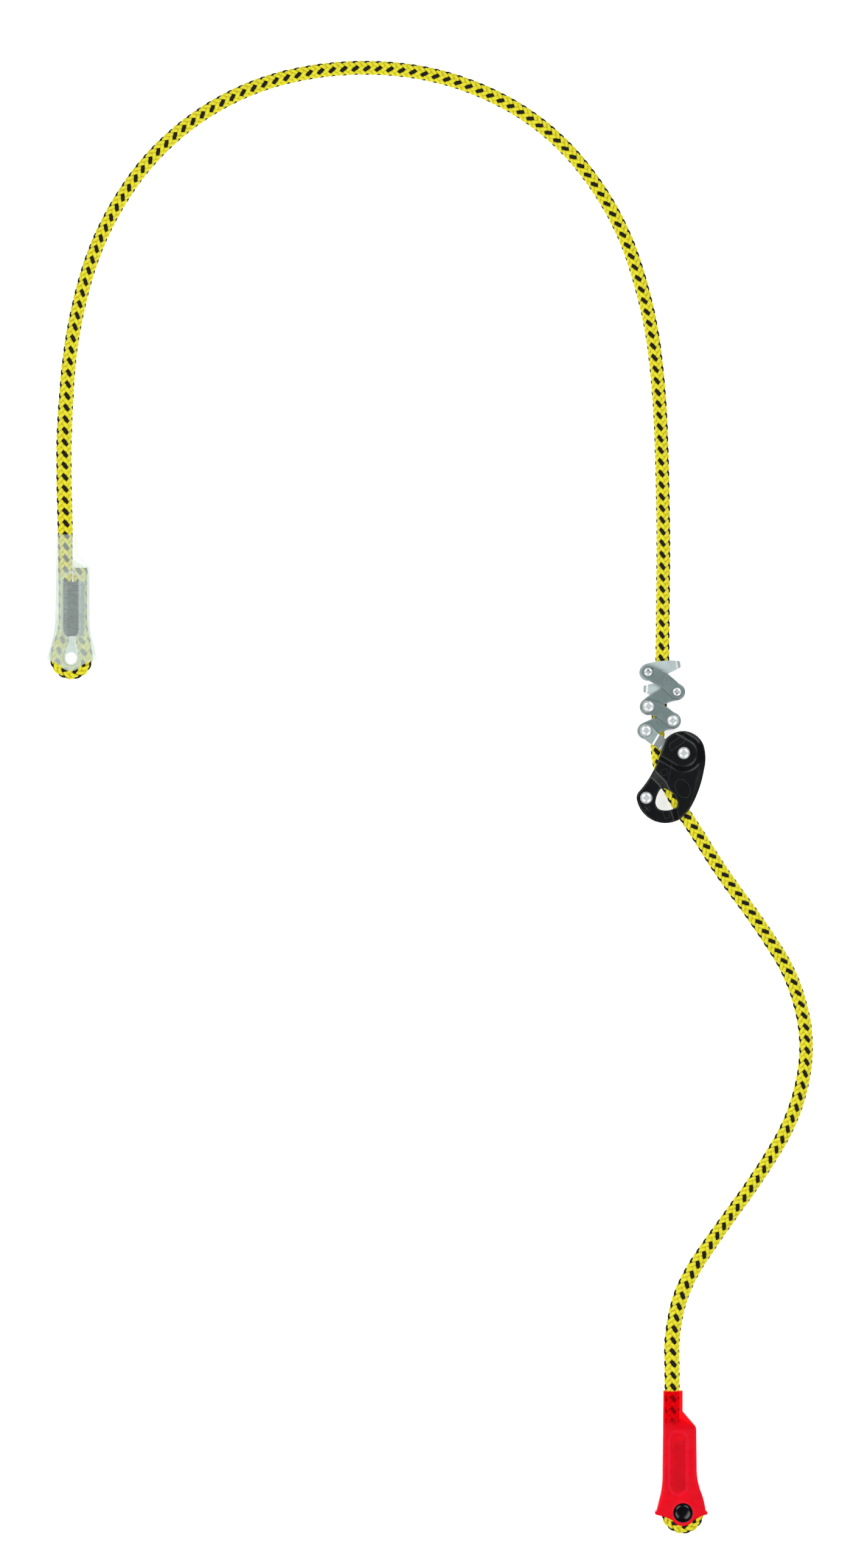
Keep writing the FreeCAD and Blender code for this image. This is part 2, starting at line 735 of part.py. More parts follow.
def build_body_hardware():
    """What the body's two plates hold: axle, ear rivet and spacer, locating pin, and the axle's washers."""
    head, shank, axle_shank = "Sheet.large_head", "Sheet.shank_radius", "Sheet.axle_radius"
    node(rivet("sheave_axle", "axle", head, "Sheet.dome_level", "Sheet.head_top", axle_shank), "sheave_axle")
    ear_top = f"Sheet.ear_level + {EAR_HEAD}"
    node(rivet("ear_rivet", "ear", head, "Sheet.ear_level", ear_top, shank), "ear_rivet")
    ear_gap = "Sheet.ear_level - Sheet.body_thick"
    low, high = level(REAR, ear_gap), level(FRONT, ear_gap)
    spacer_rim = f"{shank} + {SPACER_WALL}"
    node(tube("ear_spacer", "Sheet.ear_x", "Sheet.ear_y", low, high, spacer_rim, shank), "ear_spacer")
    tip, shoulder = f"Sheet.ear_level + {PIN_CHAMFER}", "Sheet.ear_level"
    tip_radius = f"{PIN_RADIUS} - {PIN_CHAMFER}"
    pin = [
        (0, level(REAR, tip), None),
        (tip_radius, level(REAR, tip), None),
        (PIN_RADIUS, level(REAR, shoulder), None),
        (PIN_RADIUS, level(FRONT, shoulder), None),
        (tip_radius, level(FRONT, tip), None),
        (0, level(FRONT, tip), None),
    ]
    node(turned("locating_pin", pin, *PIN_PLACE), "locating_pin")
    # Spacers hold the bearing's inner race between the link's two plates; washers fill the gap outside them.
    plate_outside = "Sheet.lever_inside + Sheet.plate_thick"
    gaps = {
        "axle_spacers": ("Sheet.race_half", f"Sheet.lever_inside - {FACE_PLAY}"),
        "axle_washers": (f"{plate_outside} + {FACE_PLAY}", "Sheet.dome_level - Sheet.body_thick"),
    }
    for label, (inside, outside) in gaps.items():
        pieces = []
        for face in (FRONT, REAR):
            low, high = sorted((level(face, inside), level(face, outside)), key=value)
            name = f"{label}_{face + 1}"
            outer = "Sheet.inner_race - 0.2"
            pieces.append(tube(name, "Sheet.axle_x", "Sheet.axle_y", low, high, outer, "Sheet.axle_radius"))
        node(joined("Compound", label, pieces), label)


def build_sheave():
    """The grooved sheave and its ball bearing."""
    half, flange, groove = "Sheet.sheave_half", "Sheet.flange_radius", "Sheet.groove_radius"
    depth = f"(Sheet.groove_radius + Sheet.groove_round - {flange})"
    lip = f"sqrt(Sheet.groove_round * Sheet.groove_round - {depth} * {depth})"
    bore = "Sheet.outer_race"
    web_end, rim_start, web = f"{bore} + 1.5", f"{bore} + 2.4", "Sheet.race_half + 0.6"
    corners = [
        (bore, level(REAR, web), None),
        (web_end, level(REAR, web), None),
        (rim_start, level(REAR, half), None),
        (flange, level(REAR, half), None),
        (flange, level(REAR, lip), "-Sheet.groove_round"),
        (groove, "Sheet.mid_height", "-Sheet.groove_round"),
        (flange, level(FRONT, lip), None),
        (flange, level(FRONT, half), None),
        (rim_start, level(FRONT, half), None),
        (web_end, level(FRONT, web), None),
        (bore, level(FRONT, web), None),
    ]
    node(turned("sheave", corners, "Sheet.axle_x", "Sheet.axle_y"), "sheave")
    race_low, race_high = level(REAR, "Sheet.race_half"), level(FRONT, "Sheet.race_half")
    races = {
        "bearing_inner_race": ("Sheet.axle_radius", "Sheet.inner_race"),
        "bearing_outer_race": ("Sheet.outer_race - 2.0", "Sheet.outer_race"),
    }
    for label, (inner, outer) in races.items():
        race = tube(f"{label}_ring", "Sheet.axle_x", "Sheet.axle_y", race_low, race_high, outer, inner)
        # The balls run in a groove cut to a slightly larger radius than theirs.
        track = doc.addObject("Part::Torus", f"{label}_track")
        for size, cell in (("Radius1", "Sheet.ball_centre"), ("Radius2", "Sheet.ball_radius + Sheet.play")):
            setattr(track, size, value(cell))
            track.setExpression(size, cell)
        place(track, "Sheet.axle_x", "Sheet.axle_y", "Sheet.mid_height")
        node(cut(label, race, track), label)
    balls = []
    count = 9
    for i in range(count):
        ball = doc.addObject("Part::Sphere", f"bearing_ball_{i}")
        ball.Radius = value("Sheet.ball_radius")
        ball.setExpression("Radius", "Sheet.ball_radius")
        turn = f"{360 / count * i} * 1deg"
        place(ball, f"Sheet.axle_x + Sheet.ball_centre * cos({turn})",
              f"Sheet.axle_y + Sheet.ball_centre * sin({turn})", "Sheet.mid_height")
        balls.append(ball)
    node(joined("Compound", "bearing_balls", balls), "bearing_balls")
    shields = []
    for face in (FRONT, REAR):
        low, high = sorted((level(face, "Sheet.race_half"), level(face, "Sheet.race_half + 0.4")), key=value)
        name, inner = f"bearing_shield_{face + 1}", "Sheet.inner_race + 0.4"
        shields.append(tube(name, "Sheet.axle_x", "Sheet.axle_y", low, high, "Sheet.outer_race", inner))
    node(joined("Compound", "bearing_shields", shields), "bearing_shields")


# ---------------------------------------------------------------------------------------------------------
# Sewn eyes
# ---------------------------------------------------------------------------------------------------------

# Each eye is drawn in its own frame: origin at the eye's centre, v up the rope, and the straight leg at the
# left. shift moves the legs and the sleeve's upper part sideways, because the two eyes lean differently.


def stretch(shift):
    """How long the legs are beside the unshifted eye's legs."""
    return 1 + 0.012 * shift


def sleeve_outline(shift):
    """The plan of a sleeve, from the left of its neck and clockwise. Its shoulder sits lower where the legs
    are shifted, and its bottom lip dips round the eye."""
    upper, left_low, right_low = shift * 0.95, shift * 0.7, shift * 0.4
    neck_top = 106.5 + shift * 0.45
    neck_right = 5.0 + shift * 1.2
    return [
        (-12.4 + upper, neck_top, None),
        (neck_right, neck_top, None),
        (neck_right, 90.3 + shift * 0.75, None),
        (14.4 + shift * 1.15, 79.9 + shift * 0.9, -6),
        (15.9 + shift, 76.0 + shift * 0.9, None),
        (16.1 + upper, 30.0 - shift * 1.8, 55),
        (18.1 + right_low, 16.0, -65),
        (21.3 + right_low, 1.9, None),
        (22.4 + right_low, 0.8, -1.3),
        (22.1 + right_low, -1.5, None),
        (19.4 + right_low, -2.2, 32),
        (8.9, -6.6, -10.9),
        (-8.9, -6.6, 32),
        (-18.0 + left_low, -2.2, None),
        (-20.2 + left_low, -1.5, -1.3),
        (-20.5 + left_low, 0.8, None),
        (-19.5 + left_low, 1.9, None),
        (-16.0 + left_low, 16.0, 90),
        (-13.3 + upper, 36.0, None),
    ]


def cavity_outline(shift):
    """The space inside a sleeve that the rope's legs and loop fill, open at the neck and at the bottom."""
    low = shift * 0.1
    roof = 78.0 * stretch(shift)
    leg_left = f"Sheet.leg_offset + {shift} - Sheet.rope_dia / 2 - Sheet.leg_play"
    leg_right = f"Sheet.leg_offset + {shift} + Sheet.rope_dia / 2 + Sheet.leg_play"
    return [
        (leg_left, 112, None),
        (leg_right, 112, None),
        (leg_right, roof + 7, None),
        (f"{leg_right} + Sheet.leg_gap", roof, None),
        (f"{leg_right} + Sheet.leg_gap", 32, None),
        (16.6 + shift * 0.45, 18.0, None),
        (18.9 + low, 4.0, None),
        (18.9 + low, -30, None),
        (-18.7 + low, -30, None),
        (-18.7 + low, 3.0, None),
        (-14.3 + shift * 0.55, 18.0, None),
        (leg_left, 39, None),
    ]


def sleeve_part(name, item, prefix):
    """Carries a solid that was made in an eye's own frame to where the eye lies."""
    place(item, f"Sheet.{prefix}_x", f"Sheet.{prefix}_y", "Sheet.eye_height")
    return node(item, name)


def stadium(centre, half, low, high):
    """A slot-shaped outline between two heights."""
    return [
        (centre + half, low + half, None),
        (centre + half, high - half, half),
        (centre, high, half),
        (centre - half, high - half, None),
        (centre - half, low + half, half),
        (centre, low, half),
    ]


def build_sleeve(prefix, shift):
    """The moulded sleeve: a thin shell over the two legs, with a raised ring round the eye and a raised frame
    round the stitching, on both faces."""
    label = f"{prefix}_sleeve"
    plan = plan_sketch(f"{label}_plan", sleeve_outline(shift))
    wall = extruded(f"{label}_wall", plan, "2 * Sheet.sleeve_half", both_ways=True)
    doc.recompute()
    rounded = doc.addObject("Part::Fillet", f"{label}_round")
    rounded.Base = wall
    face_height, rounding, neck_end, lip_height = value("Sheet.sleeve_half"), 2.0, 104.0, 1.85
    rim = []
    for number, edge in enumerate(wall.Shape.Edges, start=1):
        box = edge.BoundBox
        on_face = abs(abs(box.ZMin) - face_height) < 1e-6 and box.ZLength < 1e-6
        if on_face and lip_height < box.YMin < neck_end:
            rim.append((number, rounding, rounding))
    rounded.Edges = rim
    centre, frame_half, lip = 0.25 + shift, 8.4, 0.8
    frame_low, frame_high = 16.2 * stretch(shift), 74.4 * stretch(shift)
    raised = "2 * Sheet.sleeve_half + 0.8"
    frame_sketch = plan_sketch(f"{label}_frame_plan", stadium(centre, frame_half, frame_low, frame_high))
    outline(frame_sketch, stadium(centre, frame_half - lip, frame_low + lip, frame_high - lip))
    frame = extruded(f"{label}_frame", frame_sketch, raised, both_ways=True)
    ring_plan = plan_sketch(f"{label}_ring_plan", rings=[(0, 0, 8.6), (0, 0, 7.6)])
    eye_ring = extruded(f"{label}_ring", ring_plan, raised, both_ways=True)
    shell = joined("MultiFuse", f"{label}_solid", [rounded, frame, eye_ring])
    cavity_plan = plan_sketch(f"{label}_cavity_plan", cavity_outline(shift))
    cavity = extruded(f"{label}_cavity", cavity_plan, "2 * Sheet.cavity_half", both_ways=True)
    eye_hole = "Sheet.eye_radius + Sheet.thimble_wall + Sheet.play"
    eye_plan = plan_sketch(f"{label}_eye_plan", rings=[(0, 0, eye_hole)])
    eye = extruded(f"{label}_eye", eye_plan, WIDE, both_ways=True)
    item = cut(label, shell, joined("MultiFuse", f"{label}_hollow", [cavity, eye]))
    return sleeve_part(label, item, prefix)


def build_thimble(prefix, shift):
    """The hard bush in the eye, with the wedge that fills the fork between the two legs."""
    label = f"{prefix}_thimble"
    ring_plan = plan_sketch(f"{label}_ring_plan", rings=[(0, 0, "Sheet.eye_radius + Sheet.thimble_wall")])
    ring_solid = extruded(f"{label}_ring", ring_plan, "2 * Sheet.sleeve_half", both_ways=True)
    lean = shift * 0.45
    wedge_corners = [
        (-3.7, 3.2, None),
        (3.7, 3.2, None),
        (3.6 + lean * 0.5, 9.5, None),
        (1.0 + lean, 17.5, None),
        (-0.3 + lean, 17.5, None),
        (-3.2 + lean * 0.5, 9.5, None),
    ]
    wedge_plan = plan_sketch(f"{label}_wedge_plan", wedge_corners)
    wedge = extruded(f"{label}_wedge", wedge_plan, "2 * (Sheet.cavity_half - 0.05)", both_ways=True)
    solid = joined("MultiFuse", f"{label}_solid", [ring_solid, wedge])
    hole_plan = plan_sketch(f"{label}_hole_plan", rings=[(0, 0, "Sheet.eye_radius")])
    hole = extruded(f"{label}_hole", hole_plan, WIDE, both_ways=True)
    return sleeve_part(label, cut(label, solid, hole), prefix)


def build_stitching(prefix, shift):
    """The stitched band that joins the legs. It fills the valley between them on each face."""
    label = f"{prefix}_stitching"
    low_end, high_end = 19.0, 65.4 * stretch(shift)
    valley = "(Sheet.rope_dia / 2 + 0.25)"
    left, right = f"Sheet.leg_offset + {shift}", f"Sheet.leg_offset + Sheet.leg_gap + {shift}"
    halves = []
    for face in (FRONT, REAR):
        near, far = face * 3.2, face * 6.2
        near_reach, far_reach = (math.sqrt(value(valley) ** 2 - height**2) for height in (near, far))
        arc = f"{-face} * {valley}"
        corners = [
            (f"{left} + {far_reach}", far, arc),
            (f"{left} + {near_reach}", near, None),
            (f"{right} - {near_reach}", near, arc),
            (f"{right} - {far_reach}", far, None),
        ]
        profile = upright_sketch(f"{label}_valley_{face + 1}", corners)
        half = extruded(f"{label}_half_{face + 1}", profile, high_end - low_end, Y_AXIS)
        half.Placement = Placement(Vector(0, low_end, 0), Rotation())
        halves.append(half)
    return sleeve_part(label, joined("Compound", label, halves), prefix)


def build_plug():
    """The domed plug that closes the red eye: a shank in the thimble under a wide polished dome."""
    rise, head = "Sheet.plug_rise", "Sheet.plug_head"
    shank = "Sheet.eye_radius - Sheet.play"
    top = "Sheet.sleeve_half + 0.45"
    corners = [
        (0, "-(Sheet.sleeve_half)", None),
        (f"{shank} - 0.6", "-(Sheet.sleeve_half)", None),
        (shank, "-(Sheet.sleeve_half) + 0.6", None),
        (shank, top, None),
        (f"{head} - 0.5", top, None),
        (head, f"{top} + 0.5", 5.2),
        (f"{head} * 0.62", f"{top} + {rise} - 0.25", 22),
        (0.6, f"{top} + {rise}", None),
        (0, f"{top} + {rise}", None),
    ]
    item = turned("eye_plug", corners, 0, 0)
    return sleeve_part("eye_plug", item, "red")


# ---------------------------------------------------------------------------------------------------------
# Rope
# ---------------------------------------------------------------------------------------------------------

GRAB = value("Sheet.mid_height")
FLOOR = value("Sheet.rope_low")
EYE = value("Sheet.eye_height")

# From the meeting face inside the body, round the sheave, up the chain, over the big arch and down to the
# clear sleeve's neck.
UPPER_RUN = [
    (-2.5, -38.5, GRAB),
    (-8.8, -26.0, GRAB),
    (-11.3, -13.3, GRAB),
    (-12.2, -2.0, GRAB),
    (-11.7, 12.0, GRAB),
    (-9.6, 33.0, GRAB),
    (-7.9, 60.0, GRAB),
    (-7.4, 88.0, 13.5),
    (-7.0, 126.0, 7.4),
    (-6.4, 170.0, FLOOR),
    (-7.4, 232.0, FLOOR),
    (-9.8, 300.0, FLOOR),
    (-18.5, 372.0, FLOOR),
    (-46.0, 456.0, FLOOR),
    (-104.0, 530.0, FLOOR),
    (-186.0, 573.0, FLOOR),
    (-276.0, 583.5, FLOOR),
    (-366.0, 565.5, FLOOR),
    (-442.0, 515.0, FLOOR),
    (-493.0, 440.0, FLOOR),
    (-517.0, 355.0, FLOOR),
    (-523.5, 270.0, FLOOR),
    (-523.3, 218.0, FLOOR),
    (-522.2, 186.0, EYE),
]

# From the same face, out of the body and down the wavy tail to the red sleeve's neck.
LOWER_RUN = [
    (-2.5, -38.5, GRAB),
    (5.15, -53.7, GRAB),
    (19.6, -75.0, 13.8),
    (43.0, -112.6, 7.8),
    (77.0, -158.5, FLOOR),
    (106.5, -205.0, FLOOR),
    (119.5, -262.0, FLOOR),
    (107.5, -322.0, FLOOR),
    (76.0, -374.5, FLOOR),
    (41.0, -422.0, FLOOR),
    (10.0, -468.0, FLOOR),
    (0.2, -511.0, FLOOR),
    (0.9, -544.0, EYE),
]

# Round the eye, in the eye's own frame: down the straight leg, round the loop and back up the short leg.
LOOP = [
    (-4.95, 88.0),
    (-4.9, 65.0),
    (-4.95, 45.0),
    (-4.9, 30.0),
    (-7.4, 17.0),
    (-11.2, 6.5),
    (-12.1, -3.3),
    (-8.65, -8.9),
    (-3.0, -12.15),
    (3.6, -12.15),
    (9.25, -8.9),
    (12.5, -3.3),
    (12.2, 6.0),
    (10.0, 17.0),
    (8.2, 30.0),
    (8.15, 45.0),
    (8.2, 62.0),
    (8.15, 77.0),
]


def loop_points(prefix, shift):
    """The loop's points in the model's frame. The legs are moved by shift, which fades out below."""
    x, y = value(f"Sheet.{prefix}_x"), value(f"Sheet.{prefix}_y")
    fade_low, fade_high, least = 4.0, 30.0, 0.1
    points = []
    for u, v in LOOP:
        share = min(max((v - fade_low) / (fade_high - fade_low), least), 1.0)
        points.append((x + u + shift * share, y + v * (stretch(shift) if v > 0 else 1), EYE))
    return points


def rope_path(label, points):
    """Straight runs joined by tangent arcs. Each arc is as large as its two runs allow."""
    route = [Vector(*p) for p in points]
    edges = []
    radii = []
    at = route[0]
    for before, corner, after in zip(route, route[1:], route[2:]):
        arriving, leaving = corner - before, after - corner
        turn = arriving.getAngle(leaving)
        tangent = 0.45 * min(arriving.Length, leaving.Length)
        radii.append(tangent / math.tan(turn / 2))
        arriving.normalize()
        leaving.normalize()
        start = corner - arriving * tangent
        end = corner + leaving * tangent
        outward = (arriving - leaving).normalize()
        middle = corner - outward * (radii[-1] / math.cos(turn / 2) - radii[-1])
        edges.append(Part.LineSegment(at, start).toShape())
        edges.append(Part.Arc(start, middle, end).toShape())
        at = end
    edges.append(Part.LineSegment(at, route[-1]).toShape())
    print(label, "arc radii", [round(radius) for radius in radii])
    return Part.Wire(edges)


def rope(label, points):
    """A plain round rope along a route."""
    path = rope_path(label, points)
    radius = value("Sheet.rope_dia") / 2
    direction = Vector(*points[1]) - Vector(*points[0])
    section = Part.Wire([Part.makeCircle(radius, Vector(*points[0]), direction)])
    item = doc.addObject("Part::Feature", label)
    item.Shape = path.makePipeShell([section], True, False)
    expected = math.pi * radius**2 * path.Length
    ratio = item.Shape.Volume / expected
    print(label, "length", round(path.Length), "volume over section x length", round(ratio, 4))
    return node(item, label)


# ---------------------------------------------------------------------------------------------------------
# Build and write
# ---------------------------------------------------------------------------------------------------------

build_link_plates()
for face, word in ((FRONT, "front"), (REAR, "rear")):
    joggled_link(f"body_link_{word}", face)
    side_plate(f"side_plate_{word}", face)
build_rivets()
build_bushes()
lever("top_lever", "top", 11.4, flipped=False)
lever("second_lever", "second", 177, flipped=True)
coil_spring("lever_spring", "top")
build_body_hardware()
build_sheave()
for prefix, shift in (("clear", 0.0), ("red", value("Sheet.red_shift"))):
    build_sleeve(prefix, shift)
    build_thimble(prefix, shift)
    build_stitching(prefix, shift)
build_plug()
rope("rope_upper", UPPER_RUN + loop_points("clear", 0.0))
rope("rope_lower", LOWER_RUN + loop_points("red", value("Sheet.red_shift")))

doc.recompute()
for item in doc.Objects:
    if "Invalid" in item.State or "Error" in item.State:
        raise RuntimeError(f"{item.Label} failed: {item.State}")
for item in nodes:
    if item.Shape.isNull() or not item.Shape.isValid() or not item.Shape.Solids:
        raise RuntimeError(f"{item.Label} has no valid solid")

os.makedirs("parts", exist_ok=True)
for item in nodes:
    item.Shape.exportStep(f"parts/{item.Label}.step")
print(len(nodes), "sub-parts")
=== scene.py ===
"""Looks of an adjustable lanyard: a braided rope threaded through a rope grab, with a sewn eye at each end.

Everything is in metres, in the model's own frame: the lanyard lies flat on the floor at Z = 0, every hinge
axis is upright, and +Y runs up the rope from the grab's body to its top lever.
"""

import json
import math
import random

import bpy
import numpy as np
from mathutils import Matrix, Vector
from mathutils.bvhtree import BVHTree


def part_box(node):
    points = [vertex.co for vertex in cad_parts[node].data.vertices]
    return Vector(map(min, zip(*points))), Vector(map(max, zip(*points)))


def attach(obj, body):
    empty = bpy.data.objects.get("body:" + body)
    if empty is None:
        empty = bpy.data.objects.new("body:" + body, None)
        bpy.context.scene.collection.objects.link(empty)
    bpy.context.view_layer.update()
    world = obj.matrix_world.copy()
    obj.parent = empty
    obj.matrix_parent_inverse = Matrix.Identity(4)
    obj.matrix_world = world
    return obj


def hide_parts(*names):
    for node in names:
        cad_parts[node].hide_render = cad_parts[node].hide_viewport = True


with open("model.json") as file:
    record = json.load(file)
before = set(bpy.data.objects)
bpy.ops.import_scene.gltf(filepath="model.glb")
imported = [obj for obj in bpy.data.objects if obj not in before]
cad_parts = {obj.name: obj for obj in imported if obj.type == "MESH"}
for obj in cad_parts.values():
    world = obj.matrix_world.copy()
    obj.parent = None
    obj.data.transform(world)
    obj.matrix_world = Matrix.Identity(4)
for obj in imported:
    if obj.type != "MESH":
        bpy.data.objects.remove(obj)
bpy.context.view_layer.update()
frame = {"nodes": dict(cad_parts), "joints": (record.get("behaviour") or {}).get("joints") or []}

MM = 0.001
TAU = 2 * math.pi

# ---------------------------------------------------------------------------------------------------------
# Camera
# ---------------------------------------------------------------------------------------------------------

VIEW_CENTRE = (-0.2082, -0.0369)
VIEW_HEIGHT = 1.352
CAMERA_HEIGHT = 8.0
SENSOR = 36.0


def make_camera():
    """A long lens straight above the lanyard, with the rope's length up the picture."""
    data = bpy.data.cameras.new("camera")
    data.sensor_width = SENSOR
    data.lens = SENSOR * CAMERA_HEIGHT / VIEW_HEIGHT
    data.clip_end = 100
    camera = bpy.data.objects.new("camera", data)
    camera.location = (*VIEW_CENTRE, CAMERA_HEIGHT)
    bpy.context.scene.collection.objects.link(camera)
    bpy.context.scene.camera = camera


make_camera()

# ---------------------------------------------------------------------------------------------------------
# Meshes and materials
# ---------------------------------------------------------------------------------------------------------


def new_object(name, data):
    item = bpy.data.objects.new(name, data)
    bpy.context.scene.collection.objects.link(item)
    return item


def mesh_object(name, points, faces, smooth=True):
    """An object from a list of points and a list of faces."""
    mesh = bpy.data.meshes.new(name)
    mesh.from_pydata([tuple(p) for p in points], [], faces)
    mesh.polygons.foreach_set("use_smooth", [smooth] * len(mesh.polygons))
    mesh.update()
    return new_object(name, mesh)


def tube_faces(rings, around, first=0):
    """The faces of a tube whose rings of points follow each other, with both ends closed."""
    index = first + np.arange(rings * around).reshape(rings, around)
    here, ahead = index[:-1], index[1:]
    quads = np.stack([here, np.roll(here, -1, 1), np.roll(ahead, -1, 1), ahead], axis=-1).reshape(-1, 4)
    return [*quads.tolist(), index[0][::-1].tolist(), index[-1].tolist()]


class Shader:
    """Short calls for building one material's nodes."""

    def __init__(self, name):
        self.material = bpy.data.materials.new(name)
        self.material.use_nodes = True
        self.tree = self.material.node_tree
        self.surface = self.tree.nodes["Principled BSDF"]

    def add(self, kind, inputs=(), **settings):
        """Adds a node. Each of its inputs is given as a number, a colour or another node's output."""
        made = self.tree.nodes.new(f"ShaderNode{kind}")
        for key, setting in settings.items():
            setattr(made, key, setting)
        for key, source in dict(inputs).items():
            self.feed(made.inputs[key], source)
        return made

    def feed(self, socket, source):
        if isinstance(source, bpy.types.NodeSocket):
            self.tree.links.new(source, socket)
        else:
            socket.default_value = source

    def set(self, **inputs):
        """Sets the surface's inputs; Base_Color stands for "Base Color"."""
        for key, source in inputs.items():
            self.feed(self.surface.inputs[key.replace("_", " ")], source)

    def math(self, operation, *terms):
        return self.add("Math", enumerate(terms), operation=operation).outputs[0]

    def place(self):
        """The point's place in the model's frame at rest."""
        return self.add("TexCoord").outputs["Object"]

    def attribute(self, name):
        return self.add("Attribute", attribute_name=name).outputs["Vector"]

    def stretched(self, vector, scale):
        return self.add("Mapping", {"Vector": vector, "Scale": scale}).outputs[0]

    def noise(self, vector, scale, detail=2.0, roughness=0.5):
        inputs = {"Vector": vector, "Scale": scale, "Detail": detail, "Roughness": roughness}
        return self.add("TexNoise", inputs).outputs["Fac"]

    def ramp(self, factor, low, high, bottom=0.0, top=1.0):
        """factor's range from low to high, spread from bottom to top."""
        inputs = {"Value": factor, "From Min": low, "From Max": high, "To Min": bottom, "To Max": top}
        return self.add("MapRange", inputs).outputs[0]

    def mix(self, factor, first, second):
        made = self.add("Mix", data_type="RGBA")
        self.feed(made.inputs[0], factor)
        self.feed(made.inputs[6], first)
        self.feed(made.inputs[7], second)
        return made.outputs[2]

    def bump(self, height, strength, distance, normal=None):
        inputs = {"Height": height, "Strength": strength, "Distance": distance}
        if normal is not None:
            inputs["Normal"] = normal
        return self.add("Bump", inputs).outputs[0]

    def see_through(self, cover, tint):
        """Lets what is behind show through in the given tint, wherever cover is under 1."""
        clear = self.add("BsdfTransparent", {"Color": tint}).outputs[0]
        mixed = self.add("MixShader", {0: cover, 1: clear, 2: self.surface.outputs[0]}).outputs[0]
        self.feed(self.tree.nodes["Material Output"].inputs["Surface"], mixed)

    def length(self, first, second):
        squares = [self.math("MULTIPLY", side, side) for side in (first, second)]
        return self.math("SQRT", self.math("ADD", *squares))

    def soft_edges(self, radius):
        """A normal that is rounded over near sharp edges."""
        return self.add("Bevel", {"Radius": radius}, samples=6).outputs[0]

    def facing_up(self, low, high):
        """1 on faces that look straight up or down, and 0 on the walls."""
        normal = self.add("NewGeometry").outputs["Normal"]
        upright = self.add("SeparateXYZ", {0: normal}).outputs[2]
        return self.ramp(self.math("ABSOLUTE", upright), low, high)


def dress(item, material):
    """Gives an object one material."""
    item.data.materials.clear()
    item.data.materials.append(material)


# ---------------------------------------------------------------------------------------------------------
# Rope
# ---------------------------------------------------------------------------------------------------------

ROPE_DIAMETER = 0.0125

# The height of the rope's centre inside the grab, where it lies on the floor, and in the eyes.
GRAB = 0.015
FLOOR = 0.0064
EYE = 0.0076

# From the meeting face inside the body, round the sheave, up the chain, over the big arch and down to the
# clear sleeve's neck.
UPPER_RUN = [
    (-0.0025, -0.0385, GRAB),
    (-0.0088, -0.026, GRAB),
    (-0.0113, -0.0133, GRAB),
    (-0.0122, -0.002, GRAB),
    (-0.0117, 0.012, GRAB),
    (-0.0096, 0.033, GRAB),
    (-0.0079, 0.06, GRAB),
    (-0.0074, 0.088, 0.0135),
    (-0.007, 0.126, 0.0074),
    (-0.0064, 0.17, FLOOR),
    (-0.0074, 0.232, FLOOR),
    (-0.0098, 0.3, FLOOR),
    (-0.0185, 0.372, FLOOR),
    (-0.046, 0.456, FLOOR),
    (-0.104, 0.53, FLOOR),
    (-0.186, 0.573, FLOOR),
    (-0.276, 0.5835, FLOOR),
    (-0.366, 0.5655, FLOOR),
    (-0.442, 0.515, FLOOR),
    (-0.493, 0.44, FLOOR),
    (-0.517, 0.355, FLOOR),
    (-0.5235, 0.27, FLOOR),
    (-0.5233, 0.218, FLOOR),
    (-0.5222, 0.186, EYE),
]

# From the same face, out of the body and down the wavy tail to the red sleeve's neck.
LOWER_RUN = [
    (-0.0025, -0.0385, GRAB),
    (0.00515, -0.0537, GRAB),
    (0.0196, -0.075, 0.0138),
    (0.043, -0.1126, 0.0078),
    (0.077, -0.1585, FLOOR),
    (0.1065, -0.205, FLOOR),
    (0.1195, -0.262, FLOOR),
    (0.1075, -0.322, FLOOR),
    (0.076, -0.3745, FLOOR),
    (0.041, -0.422, FLOOR),
    (0.01, -0.468, FLOOR),
    (0.0002, -0.511, FLOOR),
    (0.0009, -0.544, EYE),
]

# Round the eye, in the eye's own frame: down the straight leg, round the loop and back up the short leg.
LOOP = [
    (-0.00495, 0.088),
    (-0.0049, 0.065),
    (-0.00495, 0.045),
    (-0.0049, 0.03),
    (-0.0074, 0.017),
    (-0.0112, 0.0065),
    (-0.0121, -0.0033),
    (-0.00865, -0.0089),
    (-0.003, -0.01215),
    (0.0036, -0.01215),
    (0.00925, -0.0089),
    (0.0125, -0.0033),
    (0.0122, 0.006),
    (0.01, 0.017),
    (0.0082, 0.03),
    (0.00815, 0.045),
    (0.0082, 0.062),
    (0.00815, 0.077),
]

# Each eye's centre, how far its legs are shifted sideways and how much they are stretched; how far an eye
# reaches sideways; and how high over its centre the stitching's two ends and the sleeve's neck are.
EYES = {"clear": (-0.5172, 0.0715), "red": (0.0101, -0.6642)}
SHIFTS = {"clear": 0.0, "red": -0.0044}
STRETCHES = {"clear": 1.0, "red": 0.9472}
EYE_REACH = 0.03
STITCHED = (0.019, 0.0654)
NECK = 0.1065


def loop_points(prefix):
    """The loop's points in the model's frame. The eye's shift moves the legs and fades out below them."""
    x, y = EYES[prefix]
    fade_low, fade_high, least = 0.004, 0.03, 0.1
    points = []
    for u, v in LOOP:
        share = min(max((v - fade_low) / (fade_high - fade_low), least), 1.0)
        stretch = STRETCHES[prefix] if v > 0 else 1
        points.append((x + u + SHIFTS[prefix] * share, y + v * stretch, EYE))
    return points


